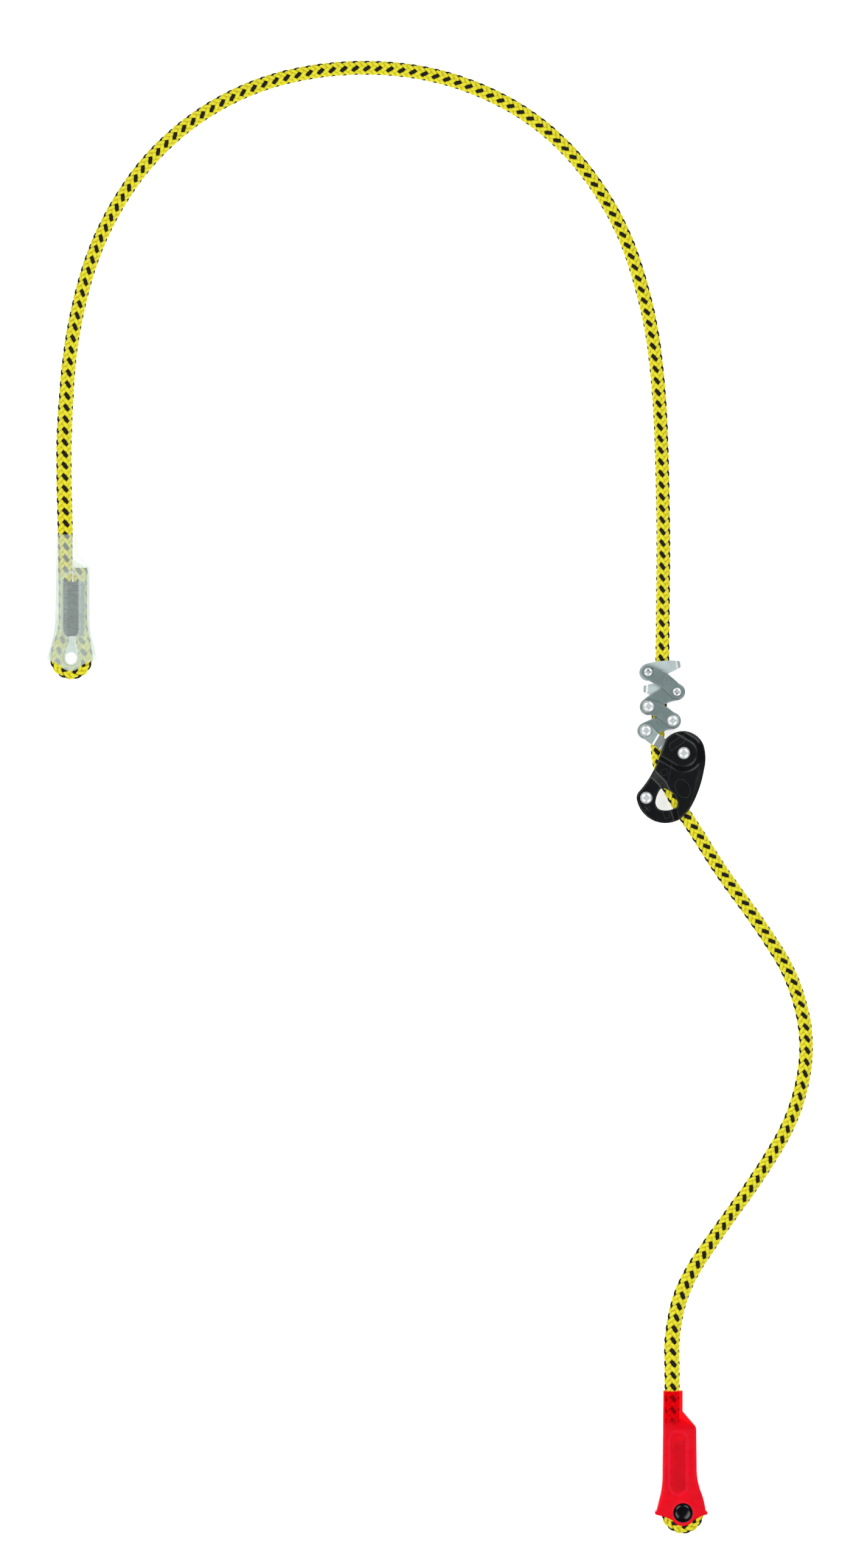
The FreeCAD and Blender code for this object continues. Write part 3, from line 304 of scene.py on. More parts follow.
def nurbs_curve(name, points):
    """A smooth curve with the given control points."""
    curve = bpy.data.curves.new(name, "CURVE")
    curve.dimensions = "3D"
    curve.resolution_u = 24
    spline = curve.splines.new("NURBS")
    spline.points.add(len(points) - 1)
    for control, point in zip(spline.points, points):
        control.co = (*point, 1.0)
    spline.order_u = 3
    spline.use_endpoint_u = True
    return new_object(name, curve)


def centre_line(curve, step):
    """Points along a curve at an even step, as the curve itself runs when it has no thickness."""
    bpy.context.view_layer.update()
    seen = bpy.data.meshes.new_from_object(curve)
    line = np.array([v.co for v in seen.vertices])
    bpy.data.meshes.remove(seen)
    along = np.concatenate([[0.0], np.cumsum(np.linalg.norm(np.diff(line, axis=0), axis=1))])
    at = np.linspace(0.0, along[-1], int(along[-1] / step) + 1)
    return at, np.stack([np.interp(at, along, line[:, k]) for k in range(3)], axis=1)


def unit(vectors):
    return vectors / np.linalg.norm(vectors, axis=-1, keepdims=True)


# The cover is braided two over, two under: eight strands wind each way, and every second strand of one way is
# black. A strand crosses all eight of the other way in half a turn.
STRANDS = 8
CROSSINGS = 2 * STRANDS
LAY = 0.040
STRAND_STEP = 0.0009
STRAND_AROUND = 8
STRAND_WIDTH = 0.0033
STRAND_THICK = 0.0025
OVER_RADIUS = ROPE_DIAMETER / 2 - STRAND_THICK / 2 + 0.0001
UNDER_RADIUS = 0.0036
CORE_RADIUS = 0.0044
DIVE_SHARPNESS = 1.1
LOOSE_PERIODS = (0.0071, 0.0113, 0.0237)
LOOSE_LIFT = 0.00009
STITCHED_SQUEEZE = 0.07

# How thick the rope is beside its own diameter, at these places past the sleeve's neck.
FULLNESS_AT = (-0.16, -0.09, -0.004, 0.006)
FULLNESS = (0.97, 1.07, 1.07, 0.99)

# Each set of strands that shares one piece: which way it winds, and which strands of that way are in it.
FAMILIES = {
    "black": (1, (0, 2, 4, 6)),
    "yellow_a": (1, (1, 3, 5, 7)),
    "yellow_b": (-1, (0, 1, 2, 3)),
    "yellow_c": (-1, (4, 5, 6, 7)),
}


def stitch_grip(prefix, line):
    """1 where the stitching pulls the rope's legs tight, and 0 away from it, for each point of the line."""
    x, y = EYES[prefix]
    u, v = line[:, 0] - x, line[:, 1] - y
    fade = 0.005
    top = STITCHED[1] * STRETCHES[prefix]
    inside = np.clip((v - STITCHED[0] + fade) / fade, 0, 1) * np.clip((top + fade - v) / fade, 0, 1)
    return inside * (np.abs(u) < EYE_REACH)


def fullness(prefix, at, line):
    """How thick the rope is for each point of the line. It is fullest just above the sleeve's neck."""
    x, y = EYES[prefix]
    beside_eye = np.abs(line[:, 0] - x) < EYE_REACH
    neck_at = at[np.argmax(beside_eye & (line[:, 1] < y + NECK))]
    return np.interp(at - neck_at, FULLNESS_AT, FULLNESS)


def strand(at, line, turn, index, size, rng):
    """One strand of the braid: its rings of points, each point's place in the strand's fibres, and how much
    painted light each point gets: the most on a float's outer face, none on its inner side or where it dives."""
    ahead = unit(np.gradient(line, axis=0))
    side = unit(np.cross(ahead, (0.0, 0.0, 1.0)))
    up = np.cross(side, ahead)
    crossed = at * CROSSINGS / LAY
    angle = TAU * (index / STRANDS + turn * at / LAY)
    wave = turn * np.cos(TAU * (2 * index + turn * crossed - 0.5) / 4)
    over = np.tanh(DIVE_SHARPNESS * wave) / math.tanh(DIVE_SHARPNESS)
    # Each float is its own size and sits a little high or low.
    loose = np.zeros_like(at)
    for period in LOOSE_PERIODS:
        loose += np.sin(TAU * (at / period + rng.random())) / 3
    centre = UNDER_RADIUS + (OVER_RADIUS - UNDER_RADIUS) * (over + 1) / 2
    centre = (centre + loose * LOOSE_LIFT) * size
    outward = side * np.cos(angle)[:, None] + up * np.sin(angle)[:, None]
    middle = line + outward * centre[:, None]
    along = unit(np.gradient(middle, axis=0))
    across = unit(np.cross(outward, along))
    out = np.cross(along, across)
    width = STRAND_WIDTH / 2 * (1 + 0.10 * over + 0.05 * loose) * size
    thick = STRAND_THICK / 2 * (1 + 0.05 * over) * size
    rings, fibres, lit_crowns = [], [], []
    for k in range(STRAND_AROUND):
        turned = TAU * (k + 0.5) / STRAND_AROUND
        wide, high = math.cos(turned), math.sin(turned)
        rings.append(middle + across * (wide * width)[:, None] + out * (high * thick)[:, None])
        across_fibre, out_fibre = np.full_like(at, wide * 1.6), np.full_like(at, high)
        fibres.append(np.stack([across_fibre, out_fibre, at / MM + index * 31.7], axis=1))
        # Painted light and shade: lightest on a float's outer face, darkest on the inner side and where the
        # strand dives.
        lit_crowns.append((high + 1) / 2 * ((over + 1) / 2) ** 0.6)
    rings, fibres = (np.stack(parts, axis=1).reshape(-1, 3) for parts in (rings, fibres))
    return rings, fibres, np.stack(lit_crowns, axis=1).ravel()


def rope_material(name, colour, shade, specular):
    """Twisted filaments: fine streaks along each strand, with painted light and shade: lighter on each
    float's outer face and darker where the strand dives into the braid.
    """
    shader = Shader(name)
    fibre = shader.attribute("fibre")
    lit_crown = shader.add("Attribute", attribute_name="lit_crown").outputs["Fac"]
    streaks = shader.noise(shader.stretched(fibre, (5.0, 5.0, 0.55)), 1.0, detail=3.0, roughness=0.6)
    patches = shader.noise(fibre, 0.16, detail=1.0)
    tone = shader.math("ADD", shader.math("MULTIPLY", streaks, 0.30), shader.math("MULTIPLY", patches, 0.20))
    # The strands' painted light and shade: brighter on the floats' outer faces, darker where they dive.
    tone = shader.math("ADD", tone, shader.math("MULTIPLY", lit_crown, 0.75))
    shader.set(
        Base_Color=shader.mix(shader.ramp(tone, 0.42, 0.92), shade, colour),
        Roughness=0.60,
        Normal=shader.bump(streaks, 0.5, 0.00012),
    )
    shader.surface.inputs["Specular IOR Level"].default_value = specular
    return shader.material


# Each rope's second colour is the darker tone of its fibres, and also the painted shade where its strands
# dive.
YELLOW = rope_material("rope_yellow", (0.95, 0.90, 0.022, 1), (0.42, 0.22, 0.0005, 1), 0.35)
BLACK = rope_material("rope_black", (0.008, 0.008, 0.006, 1), (0.001, 0.001, 0.001, 1), 0.16)


def core_material():
    shader = Shader("rope_core")
    grain = shader.noise(shader.place(), 700, detail=2.0)
    # The core's dark brown is painted shade, seen in the gaps between the strands.
    shader.set(Base_Color=shader.mix(grain, (0.02, 0.012, 0.001, 1), (0.07, 0.045, 0.002, 1)), Roughness=0.9)
    return shader.material


CORE = core_material()


def make_rope(prefix, node, run):
    """A rope from inside the grab's body to its sewn eye: a core under sixteen braided strands."""
    core = nurbs_curve(f"{node}_core", run + loop_points(prefix))
    at, line = centre_line(core, STRAND_STEP)
    core.data.bevel_depth = CORE_RADIUS
    core.data.bevel_resolution = 3
    core.data.use_fill_caps = True
    core.data.materials.append(CORE)
    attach(core, "body")
    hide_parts(node)
    size = fullness(prefix, at, line) * (1 - STITCHED_SQUEEZE * stitch_grip(prefix, line))
    rng = random.Random(7)
    for family, (turn, members) in FAMILIES.items():
        points, faces, fibres, lit_crowns = [], [], [], []
        for index in members:
            rings, fibre, lit_crown = strand(at, line, turn, index, size, rng)
            faces += tube_faces(len(at), STRAND_AROUND, first=len(points) * len(rings))
            points.append(rings)
            fibres.append(fibre)
            lit_crowns.append(lit_crown)
        piece = mesh_object(f"{node}_{family}", np.concatenate(points), faces)
        layer = piece.data.attributes.new("fibre", "FLOAT_VECTOR", "POINT")
        layer.data.foreach_set("vector", np.concatenate(fibres).ravel())
        layer = piece.data.attributes.new("lit_crown", "FLOAT", "POINT")
        layer.data.foreach_set("value", np.concatenate(lit_crowns))
        dress(piece, BLACK if family == "black" else YELLOW)
        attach(piece, "body")
    fittings = [f"{prefix}_{part}" for part in ("sleeve", "thimble", "stitching", "threads")]
    if prefix == "red":
        fittings.append("eye_plug")

# ---------------------------------------------------------------------------------------------------------
# Stitching in the sleeves
# ---------------------------------------------------------------------------------------------------------

LEGS = (-0.0049, 0.0082)
STITCH_SPAN = (-0.0075, 0.0118)
THREAD_PITCH = 0.00058
THREAD_RADIUS = 0.00040
THREAD_AROUND = 6
THREAD_RINGS = 24

# How far a thread's slope, height and two ends stray from even rows.
SLANT = 0.0006
UNEVEN = 0.00014
START_STRAY = 0.0003
END_SHORT, END_LONG = 0.0012, 0.0007


def surface_of(node):
    data = frame["nodes"][node].data
    return BVHTree.FromPolygons([v.co for v in data.vertices], [p.vertices for p in data.polygons])


def stitched_height(block, x, y, u, face):
    """How far the stitched surface stands from the rope's mid-plane: on the block, or on a leg beside it."""
    hit = block.ray_cast(Vector((x, y, EYE + face * 0.02)), Vector((0, 0, -face)))[0]
    leg = min(LEGS, key=lambda centre: abs(u - centre))
    rounded = math.sqrt(max((ROPE_DIAMETER / 2) ** 2 - (u - leg) ** 2, 0.0)) - 0.0003
    return max(rounded, abs(hit.z - EYE)) if hit else rounded


def make_stitching(prefix, colours):
    """Rows of thread laid across both legs on both faces, over the block that fills the gap between them."""
    shader = Shader(f"{prefix}_thread")
    fibre = shader.attribute("fibre")
    tone = shader.noise(shader.stretched(fibre, (1.2, 1.0, 0.5)), 1.0, detail=3.0)
    shader.set(Base_Color=shader.mix(shader.ramp(tone, 0.33, 0.67), *colours), Roughness=0.7)
    block = surface_of(f"{prefix}_stitching")
    x, y = EYES[prefix]
    x += SHIFTS[prefix]
    rng = random.Random(11)
    points, faces, fibres = [], [], []
    rows = int((STITCHED[1] * STRETCHES[prefix] - STITCHED[0]) / THREAD_PITCH)
    for face in (1, -1):
        for row in range(rows):
            v = STITCHED[0] + (row + 0.5) * THREAD_PITCH
            slant = rng.uniform(-SLANT, SLANT)
            lift = rng.uniform(-UNEVEN, UNEVEN)
            start = STITCH_SPAN[0] + rng.uniform(-START_STRAY, START_STRAY)
            end = STITCH_SPAN[1] + rng.uniform(-END_SHORT, END_LONG)
            first = len(points)
            for step in range(THREAD_RINGS):
                share = step / (THREAD_RINGS - 1)
                u = start + (end - start) * share
                along = y + v + slant * (share - 0.5)
                height = stitched_height(block, x + u, along, u, face) + lift
                centre = Vector((x + u, along, EYE + face * height))
                for k in range(THREAD_AROUND):
                    turned = TAU * k / THREAD_AROUND
                    bulge = Vector((0, math.cos(turned), math.sin(turned))) * THREAD_RADIUS
                    points.append(centre + bulge)
                    fibres.append((math.cos(turned), row * 3.1, share * 9))
            faces += tube_faces(THREAD_RINGS, THREAD_AROUND, first)
    threads = mesh_object(f"{prefix}_threads", points, faces)
    layer = threads.data.attributes.new("fibre", "FLOAT_VECTOR", "POINT")
    layer.data.foreach_set("vector", np.array(fibres).ravel())
    dress(threads, shader.material)
    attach(threads, "body")
    dress(frame["nodes"][f"{prefix}_stitching"], shader.material)


make_stitching("clear", ((0.08, 0.10, 0.10, 1), (0.27, 0.31, 0.31, 1)))
make_stitching("red", ((0.16, 0.12, 0.12, 1), (0.42, 0.36, 0.36, 1)))
make_rope("clear", "rope_upper", UPPER_RUN)
make_rope("red", "rope_lower", LOWER_RUN)

# ---------------------------------------------------------------------------------------------------------
# Sleeves, thimbles and plug
# ---------------------------------------------------------------------------------------------------------

# The raised frame's centre in the eye's own frame, half the length of its straight sides, and the radii of
# the painted highlight lines along its edges; the ring's painted highlight lines; and the heights between
# which the plastic turns clearer.
FRAME_CENTRE = (0.00025, 0.0453)
FRAME_HALF = 0.0207
FRAME_RADII = (0.0084, 0.0071)
RING_RADII = (0.0094, 0.0081, 0.0056)
LINE_WIDTH = 0.00025
NECK_FADE = (0.070, 0.081)


def sleeve_material(name, prefix, colours, tint, covers, window, highlight_strength, specular, glow):
    """Thin translucent plastic, denser at its walls, which take a painted shade, and denser along the raised
    frame and ring, where painted highlight lines run. The three covers are for the neck's faces, for the
    faces below it and for the walls. window is how much of the cover is left inside the frame, and glow is a
    painted glow: emission that stands in for light through the plastic."""
    colour, wall_shade_colour, highlight_colour = colours
    neck_cover, low_cover, wall_cover = covers
    shader = Shader(name)
    place = shader.place()
    mottle = shader.noise(place, 160, detail=3.0)
    flat = shader.facing_up(0.55, 0.98)
    parts = shader.add("SeparateXYZ", {0: place})
    x, y = EYES[prefix]
    u = shader.math("SUBTRACT", parts.outputs[0], x)
    v = shader.math("SUBTRACT", parts.outputs[1], y)
    frame_u = shader.math("SUBTRACT", u, FRAME_CENTRE[0] + SHIFTS[prefix])
    stretch = STRETCHES[prefix]
    from_middle = shader.math("ABSOLUTE", shader.math("SUBTRACT", v, FRAME_CENTRE[1] * stretch))
    past_end = shader.math("MAXIMUM", shader.math("SUBTRACT", from_middle, FRAME_HALF * stretch), 0.0)
    frame_reach, ring_reach = shader.length(frame_u, past_end), shader.length(u, v)
    # Painted highlight lines along the edges of the raised frame and ring.
    lines = None
    for reach, radii in ((frame_reach, FRAME_RADII), (ring_reach, RING_RADII)):
        for radius in radii:
            off = shader.math("ABSOLUTE", shader.math("SUBTRACT", reach, radius))
            line = shader.ramp(off, LINE_WIDTH, LINE_WIDTH * 2, 1.0, 0.0)
            lines = line if lines is None else shader.math("MAXIMUM", lines, line)
    lines = shader.math("MULTIPLY", lines, highlight_strength)
    shade = tuple(c * 0.90 for c in colour[:3]) + (1,)
    cloudy = shader.mix(shader.ramp(shader.noise(place, 90, detail=4.0), 0.40, 0.62), shade, colour)
    # The walls take their own colour, a painted shade.
    body_colour = shader.mix(flat, wall_shade_colour, cloudy)
    face_cover = shader.ramp(v, NECK_FADE[0], NECK_FADE[1], low_cover, neck_cover)
    inside = shader.ramp(frame_reach, FRAME_RADII[1] - LINE_WIDTH, FRAME_RADII[1], window, 1.0)
    wall_share = shader.math("MULTIPLY", shader.math("SUBTRACT", 1.0, flat), wall_cover - low_cover)
    cover = shader.math("ADD", shader.math("MULTIPLY", face_cover, inside), wall_share)
    shader.set(
        Base_Color=shader.mix(lines, body_colour, highlight_colour),
        Roughness=shader.ramp(mottle, 0.3, 0.7, 0.22, 0.36),
        Normal=shader.bump(shader.noise(place, 260, detail=2.0), 0.15, 0.0001),
    )
    shader.surface.inputs["Specular IOR Level"].default_value = specular
    # The emission is a painted glow standing in for light through the plastic.
    shader.surface.inputs["Emission Color"].default_value = colour
    shader.surface.inputs["Emission Strength"].default_value = glow
    shader.see_through(shader.math("MAXIMUM", cover, lines), tint)
    return shader.material


def plug_material():
    shader = Shader("plug_gloss")
    fine = shader.noise(shader.place(), 900, detail=2.0)
    shader.set(
        Base_Color=(0.002, 0.002, 0.003, 1),
        Roughness=shader.ramp(fine, 0.3, 0.7, 0.12, 0.17),
    )
    shader.surface.inputs["Specular IOR Level"].default_value = 0.35
    return shader.material


# The colours of each sleeve's faces, of its walls, a painted shade, and of the painted highlight lines on its
# raised frame and ring.
MILKY = ((0.84, 0.97, 0.90, 1), (0.56, 0.66, 0.63, 1), (0.90, 0.97, 0.94, 1))
RED = ((0.98, 0.003, 0.018, 1), (0.98, 0.006, 0.03, 1), (0.98, 0.02, 0.07, 1))
CLEAR_SLEEVE = sleeve_material(
    "clear_sleeve",
    "clear",
    MILKY,
    tint=(1, 1, 1, 1),
    covers=(0.19, 0.31, 0.55),
    window=0.55,
    highlight_strength=0.5,
    specular=0.45,
    glow=0.07,
)
RED_SLEEVE = sleeve_material(
    "red_sleeve",
    "red",
    RED,
    tint=(1, 0.12, 0.14, 1),
    covers=(0.17, 0.78, 0.88),
    window=0.9,
    highlight_strength=0.75,
    specular=0.15,
    glow=0.09,
)
dress(frame["nodes"]["clear_sleeve"], CLEAR_SLEEVE)
dress(frame["nodes"]["clear_thimble"], CLEAR_SLEEVE)
dress(frame["nodes"]["red_sleeve"], RED_SLEEVE)
dress(frame["nodes"]["red_thimble"], RED_SLEEVE)
dress(frame["nodes"]["eye_plug"], plug_material())

# ---------------------------------------------------------------------------------------------------------
# Metal of the grab
# ---------------------------------------------------------------------------------------------------------

# The turned rivets' fine and broad rings, as radians per metre of radius and their depth, and the dark ring's
# radius, a painted reflection.
FINE_RINGS, FINE_DEPTH = 15000, 0.000005
BROAD_RINGS, BROAD_DEPTH = 4700, 0.000016
DOME = -9.0
DARK_RING_RADIUS = 0.0016


def alloy_material(name, face, wall_highlight, face_roughness, wall_roughness):
    """Tumbled aluminium: a grainy matte face, with smoother walls and bends whose brighter colour is a
    painted highlight.
    """
    shader = Shader(name)
    place = shader.place()
    grain = shader.noise(place, 2600, detail=3.0, roughness=0.7)
    clouds = shader.noise(place, 140, detail=3.0)
    tone = shader.math("ADD", shader.math("MULTIPLY", grain, 0.6), shader.math("MULTIPLY", clouds, 0.4))
    dark = tuple(c * 0.86 for c in face[:3]) + (1,)
    light = tuple(min(c * 1.14, 1) for c in face[:3]) + (1,)
    flat = shader.facing_up(0.96, 0.995)
    matte = shader.mix(shader.ramp(tone, 0.38, 0.62), dark, light)
    edges = shader.soft_edges(0.00025)
    # Walls and bends take a lighter colour, a painted highlight.
    shader.set(
        Base_Color=shader.mix(flat, wall_highlight, matte),
        Metallic=0.6,
        Roughness=shader.ramp(flat, 0.0, 1.0, wall_roughness, face_roughness),
        Normal=shader.bump(grain, 0.35, 0.00005, edges),
    )
    return shader.material


def turned_material(name, centres, dark_ring=0.0):
    """Steel turned on a lathe: fine rings round the nearest of the given centres, on a slight dome, with
    painted light and shade in bands along the broad rings and a painted dark reflection ring.
    """
    shader = Shader(name)
    parts = shader.add("SeparateXYZ", {0: shader.place()})
    radius = None
    for x, y in centres:
        across = shader.math("SUBTRACT", parts.outputs[0], x)
        along = shader.math("SUBTRACT", parts.outputs[1], y)
        reach = shader.length(across, along)
        radius = reach if radius is None else shader.math("MINIMUM", radius, reach)
    fine = shader.math("SINE", shader.math("MULTIPLY", radius, FINE_RINGS))
    broad = shader.math("SINE", shader.math("MULTIPLY", radius, BROAD_RINGS))
    dome = shader.math("MULTIPLY", shader.math("MULTIPLY", radius, radius), DOME)
    grooves = shader.math("MULTIPLY", broad, BROAD_DEPTH)
    rings = shader.math("ADD", shader.math("MULTIPLY", fine, FINE_DEPTH), grooves)
    # Lighter and darker bands along the broad rings: painted light and shade of the grooves.
    ring_light_and_shade = shader.mix(shader.ramp(broad, -1, 1), (0.56, 0.60, 0.60, 1), (0.86, 0.90, 0.90, 1))
    # A dark ring round the centre, broken up by noise and as strong as dark_ring, is a painted reflection.
    off = shader.math("ABSOLUTE", shader.math("SUBTRACT", radius, DARK_RING_RADIUS))
    ring_breaks = shader.ramp(shader.noise(shader.place(), 620, detail=1.0), 0.46, 0.56)
    shade = shader.math("MULTIPLY", shader.ramp(off, 0.0003, 0.0007, dark_ring, 0.0), ring_breaks)
    shader.set(
        Base_Color=shader.mix(shade, ring_light_and_shade, (0.03, 0.035, 0.035, 1)),
        Metallic=0.6,
        Roughness=0.32,
        Normal=shader.bump(shader.math("ADD", dome, rings), 1.0, 1.0),
    )
    return shader.material


def black_plate_material():
    """Black anodised plate: even and semi-gloss, with a fine grain and paler walls, a painted highlight along
    its edges.
    """
    shader = Shader("black_plate")
    place = shader.place()
    grain = shader.noise(place, 2200, detail=3.0, roughness=0.65)
    clouds = shader.noise(place, 90, detail=3.0)
    flat = shader.facing_up(0.25, 0.6)
    # The walls' paler colour is a painted highlight.
    shader.set(
        Base_Color=shader.mix(flat, (0.07, 0.075, 0.08, 1), (0.002, 0.003, 0.0035, 1)),
        Roughness=shader.ramp(clouds, 0.3, 0.7, 0.21, 0.25),
        Normal=shader.bump(grain, 0.18, 0.00004, shader.soft_edges(0.0022)),
    )
    shader.surface.inputs["Specular IOR Level"].default_value = 0.5
    return shader.material


PIVOTS = {joint["name"]: joint["pos_m"][:2] for joint in frame["joints"]}
TOP, SECOND = PIVOTS["top_lever_pivot"], PIVOTS["top_link_pivot"]
THIRD, FOURTH = PIVOTS["upper_link_pivot"], PIVOTS["chain_squeeze"]
FIFTH, AXLE = PIVOTS["lower_link_pivot"], PIVOTS["sheave_spin"]


def middle_of(node):
    low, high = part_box(node)
    return ((low + high) / 2)[:2]


def dress_grab():
    """Materials of the grab's own parts."""
    link = alloy_material("link_alloy", (0.178, 0.240, 0.238, 1), (0.38, 0.44, 0.43, 1), 0.50, 0.32)
    smooth = alloy_material("smooth_alloy", (0.37, 0.47, 0.45, 1), (0.74, 0.80, 0.79, 1), 0.42, 0.24)
    lever = alloy_material("lever_alloy", (0.58, 0.68, 0.69, 1), (0.88, 0.93, 0.93, 1), 0.40, 0.24)
    sheave = alloy_material("sheave_alloy", (0.42, 0.44, 0.44, 1), (0.56, 0.58, 0.58, 1), 0.36, 0.28)
    steel = alloy_material("plain_steel", (0.42, 0.46, 0.46, 1), (0.60, 0.64, 0.64, 1), 0.34, 0.26)
    black = black_plate_material()
    nodes = frame["nodes"]
    for name in ("top_link", "upper_link", "middle_link", "lower_link", "body_link"):
        for side in ("front", "rear"):
            dress(nodes[f"{name}_{side}"], smooth if name == "body_link" else link)
    dress(nodes["top_lever"], lever)
    dress(nodes["second_lever"], lever)
    dress(nodes["sheave"], sheave)
    dress(nodes["side_plate_front"], black)
    dress(nodes["side_plate_rear"], black)
    for name in (
        "axle_spacers", "axle_washers", "bearing_balls", "bearing_inner_race", "bearing_outer_race",
        "bearing_shields", "ear_spacer", "lever_bushes", "lever_spring", "lower_link_bushes",
        "top_link_washers", "upper_link_bush",
    ):
        dress(nodes[name], steel)
    dress(nodes["locating_pin"], black)
    # The top rivets get the painted dark reflection ring.
    dress(nodes["top_link_rivets"], turned_material("top_link_rivets_turned", (TOP, SECOND), dark_ring=0.8))
    rivets = {
        "middle_link_rivets": (THIRD, FOURTH),
        "body_link_rivet": (FIFTH,),
        "sheave_axle": (AXLE,),
        "ear_rivet": (middle_of("ear_rivet"),),
    }
    for name, centres in rivets.items():
        dress(nodes[name], turned_material(f"{name}_turned", centres))


dress_grab()

# ---------------------------------------------------------------------------------------------------------
# Marks on the body and the links
# ---------------------------------------------------------------------------------------------------------

LINE_STEP = 0.0004
LINE_AROUND = 6
LINE_FLATNESS = 0.35


def mark_material(name, colour):
    shader = Shader(name)
    shader.set(Base_Color=colour, Roughness=0.6)
    return shader.material


def surface_line(name, node, body, material, outline, width, closed=True):
    """A thin line on top of a plate, along a plan outline. It follows the plate's height."""
    surface = surface_of(node)
    corners = outline + outline[:1] if closed else outline
    route = []
    for start, end in zip(corners, corners[1:]):
        count = max(int(math.dist(start, end) / LINE_STEP), 1)
        for step in range(count):
            share = step / count
            route.append((start[0] + (end[0] - start[0]) * share, start[1] + (end[1] - start[1]) * share))
    if not closed:
        route.append(corners[-1])
    points = []
    for i, (x, y) in enumerate(route):
        before, after = route[i - 1], route[(i + 1) % len(route)]
        if not closed:
            before, after = route[max(i - 1, 0)], route[min(i + 1, len(route) - 1)]
        along = Vector((after[0] - before[0], after[1] - before[1], 0)).normalized()
        across = Vector((-along.y, along.x, 0))
        top = surface.ray_cast(Vector((x, y, 0.05)), Vector((0, 0, -1)))[0]
        for k in range(LINE_AROUND):
            turned = TAU * k / LINE_AROUND
            rise = Vector((0, 0, math.sin(turned) * width * LINE_FLATNESS))
            points.append(top + across * (math.cos(turned) * width) + rise)
    faces = tube_faces(len(route), LINE_AROUND)
    if closed:
        last = (len(route) - 1) * LINE_AROUND
        faces = faces[:-2]
        for k in range(LINE_AROUND):
            following = (k + 1) % LINE_AROUND
            faces.append([last + k, last + following, following, k])
    line = mesh_object(name, points, faces)
    dress(line, material)
    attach(line, body)


def turned_outline(points, angle, centre):
    """A plan outline turned by angle about its own middle and moved to centre."""
    cosine, sine = math.cos(angle), math.sin(angle)
    return [(centre[0] + x * cosine - y * sine, centre[1] + x * sine + y * cosine) for x, y in points]


def rounded_box(centre, size, corner, angle, lean=0.0):
    """The plan outline of a rectangle with rounded corners, turned by angle and sheared by lean."""
    half_x, half_y = size[0] / 2 - corner, size[1] / 2 - corner
    points = []
    for quarter, (sx, sy) in enumerate(((1, 1), (-1, 1), (-1, -1), (1, -1))):
        for step in range(7):
            turned = math.radians(90 * quarter + 15 * step)
            x = sx * half_x + corner * math.cos(turned)
            y = sy * half_y + corner * math.sin(turned)
            points.append((x + lean * y, y))
    return turned_outline(points, angle, centre)


def oval(centre, size, angle):
    turns = [TAU * step / 48 for step in range(48)]
    points = [(size[0] / 2 * math.cos(turn), size[1] / 2 * math.sin(turn)) for turn in turns]
    return turned_outline(points, angle, centre)


# Plan outlines of the engraved arrow and bar, each round its own middle.
ARROW = [(-0.00073, -0.00387), (0.00073, -0.00387), (0.00073, 0.00013), (0.00285, 0.00013), (0, 0.0061)]
ARROW += [(-0.00285, 0.00013), (-0.00073, 0.00013)]
BAR = [(-0.00075, -0.0041), (0.00075, -0.0041), (0.00058, 0.0041), (-0.00058, 0.0041)]


def make_marks():
    """Faint plain outlines on the body, and the engraved arrow and bar on the links, which show paler."""
    faint = mark_material("faint_mark", (0.030, 0.034, 0.037, 1))
    pale = mark_material("pale_mark", (0.50, 0.58, 0.56, 1))
    outlines = {
        "blank_plaque": (rounded_box((0.0046, -0.0016), (0.0150, 0.0056), 0.0014, 0.60, 0.45), 0.00022),
        "blank_square": (rounded_box((-0.0062, -0.0268), (0.0052, 0.0050), 0.0005, 0.27), 0.00015),
        "blank_tile": (rounded_box((-0.0044, -0.0632), (0.0046, 0.0062), 0.0006, 0.35), 0.00015),
        "blank_oval": (oval((0.0096, -0.0408), (0.0122, 0.0170), 0.50), 0.00016),
    }
    for name, (outline, width) in outlines.items():
        surface_line(name, "side_plate_front", "body", faint, outline, width)
    scribed = [(0.0008, -0.0175), (-0.0039, -0.0378)]
    surface_line("scribed_line", "side_plate_front", "body", faint, scribed, 0.00014, closed=False)
    arrow = turned_outline(ARROW, math.radians(-4), (-0.0046, 0.0504))
    surface_line("link_arrow", "top_link_front", "top_link", pale, arrow, 0.00017)
    bar = turned_outline(BAR, math.radians(-6), (-0.00996, 0.02553))
    surface_line("link_bar", "middle_link_front", "middle_link", pale, bar, 0.00014)


make_marks()

# ---------------------------------------------------------------------------------------------------------
# Floor and light
# ---------------------------------------------------------------------------------------------------------

FLOOR_REACH = 20.0
FLOOR_DROP = 0.0002
FLOOR_GLOW = 0.70
BOX_HEIGHT = 3.2


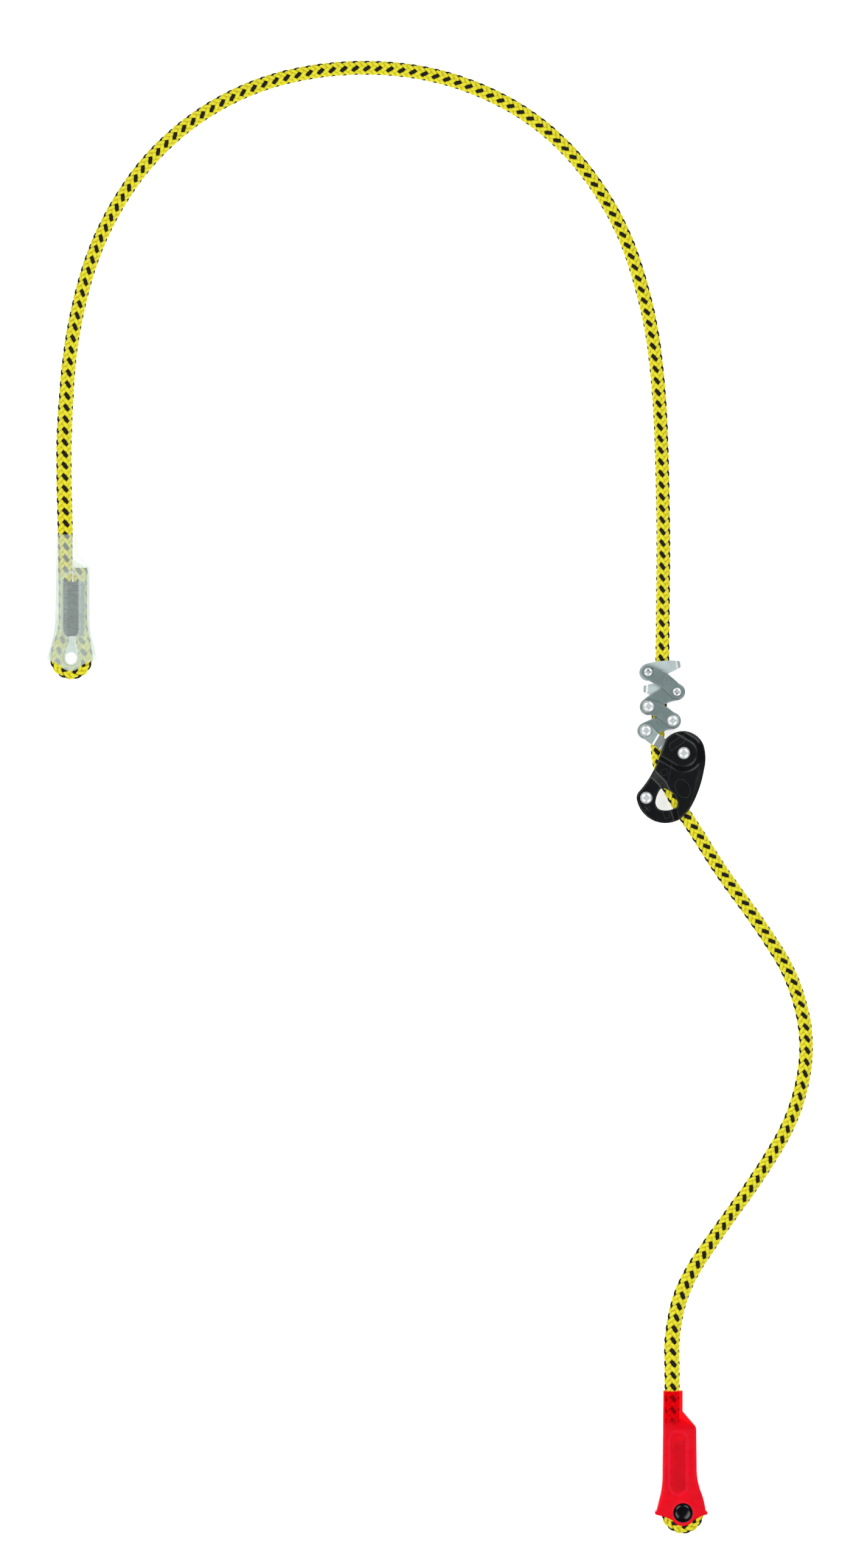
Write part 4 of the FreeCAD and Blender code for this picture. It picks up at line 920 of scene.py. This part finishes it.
def make_floor():
    """A wide pale floor just under the lanyard, with some light of its own."""
    shader = Shader("pale_floor")
    shader.set(Base_Color=(0.80, 0.80, 0.80, 1), Roughness=0.9)
    shader.surface.inputs["Specular IOR Level"].default_value = 0.1
    shader.surface.inputs["Emission Color"].default_value = (1, 1, 1, 1)
    shader.surface.inputs["Emission Strength"].default_value = FLOOR_GLOW
    sides = ((-1, -1), (1, -1), (1, 1), (-1, 1))
    corners = [(x * FLOOR_REACH, y * FLOOR_REACH, 0) for x, y in sides]
    floor = mesh_object("floor", corners, [[0, 1, 2, 3]], smooth=False)
    floor.location.z = -FLOOR_DROP
    dress(floor, shader.material)


def make_light(name, place, size, power):
    """A soft box aimed at the middle of the lanyard."""
    aim = Vector((*VIEW_CENTRE, 0))
    data = bpy.data.lights.new(name, "AREA")
    data.shape = "RECTANGLE"
    data.size = data.size_y = size
    data.energy = power
    light = bpy.data.objects.new(name, data)
    light.location = place
    light.rotation_euler = (aim - Vector(place)).to_track_quat("-Z", "Y").to_euler()
    bpy.context.scene.collection.objects.link(light)


def make_world():
    """A dim room with a pale band round the horizon."""
    world = bpy.data.worlds.new("studio")
    world.use_nodes = True
    tree = world.node_tree
    background = tree.nodes["Background"]
    direction = tree.nodes.new("ShaderNodeTexCoord")
    parts = tree.nodes.new("ShaderNodeSeparateXYZ")
    height = tree.nodes.new("ShaderNodeMapRange")
    for socket, number in (("From Min", 0.03), ("From Max", 0.14), ("To Min", 0.8), ("To Max", 0.08)):
        height.inputs[socket].default_value = number
    tree.links.new(direction.outputs["Generated"], parts.inputs[0])
    tree.links.new(parts.outputs[2], height.inputs["Value"])
    tree.links.new(height.outputs[0], background.inputs["Strength"])
    background.inputs["Color"].default_value = (0.93, 0.98, 1.0, 1)
    bpy.context.scene.world = world


make_floor()
make_world()
make_light("upper_left_box", (-1.7, 1.2, BOX_HEIGHT), 1.8, 44)
make_light("upper_right_box", (1.3, 1.4, BOX_HEIGHT), 1.6, 34)
make_light("lower_right_box", (1.3, -1.5, BOX_HEIGHT), 1.6, 34)
make_light("lower_left_box", (-1.7, -1.5, BOX_HEIGHT), 1.6, 34)
bpy.context.scene.view_settings.view_transform = "Standard"
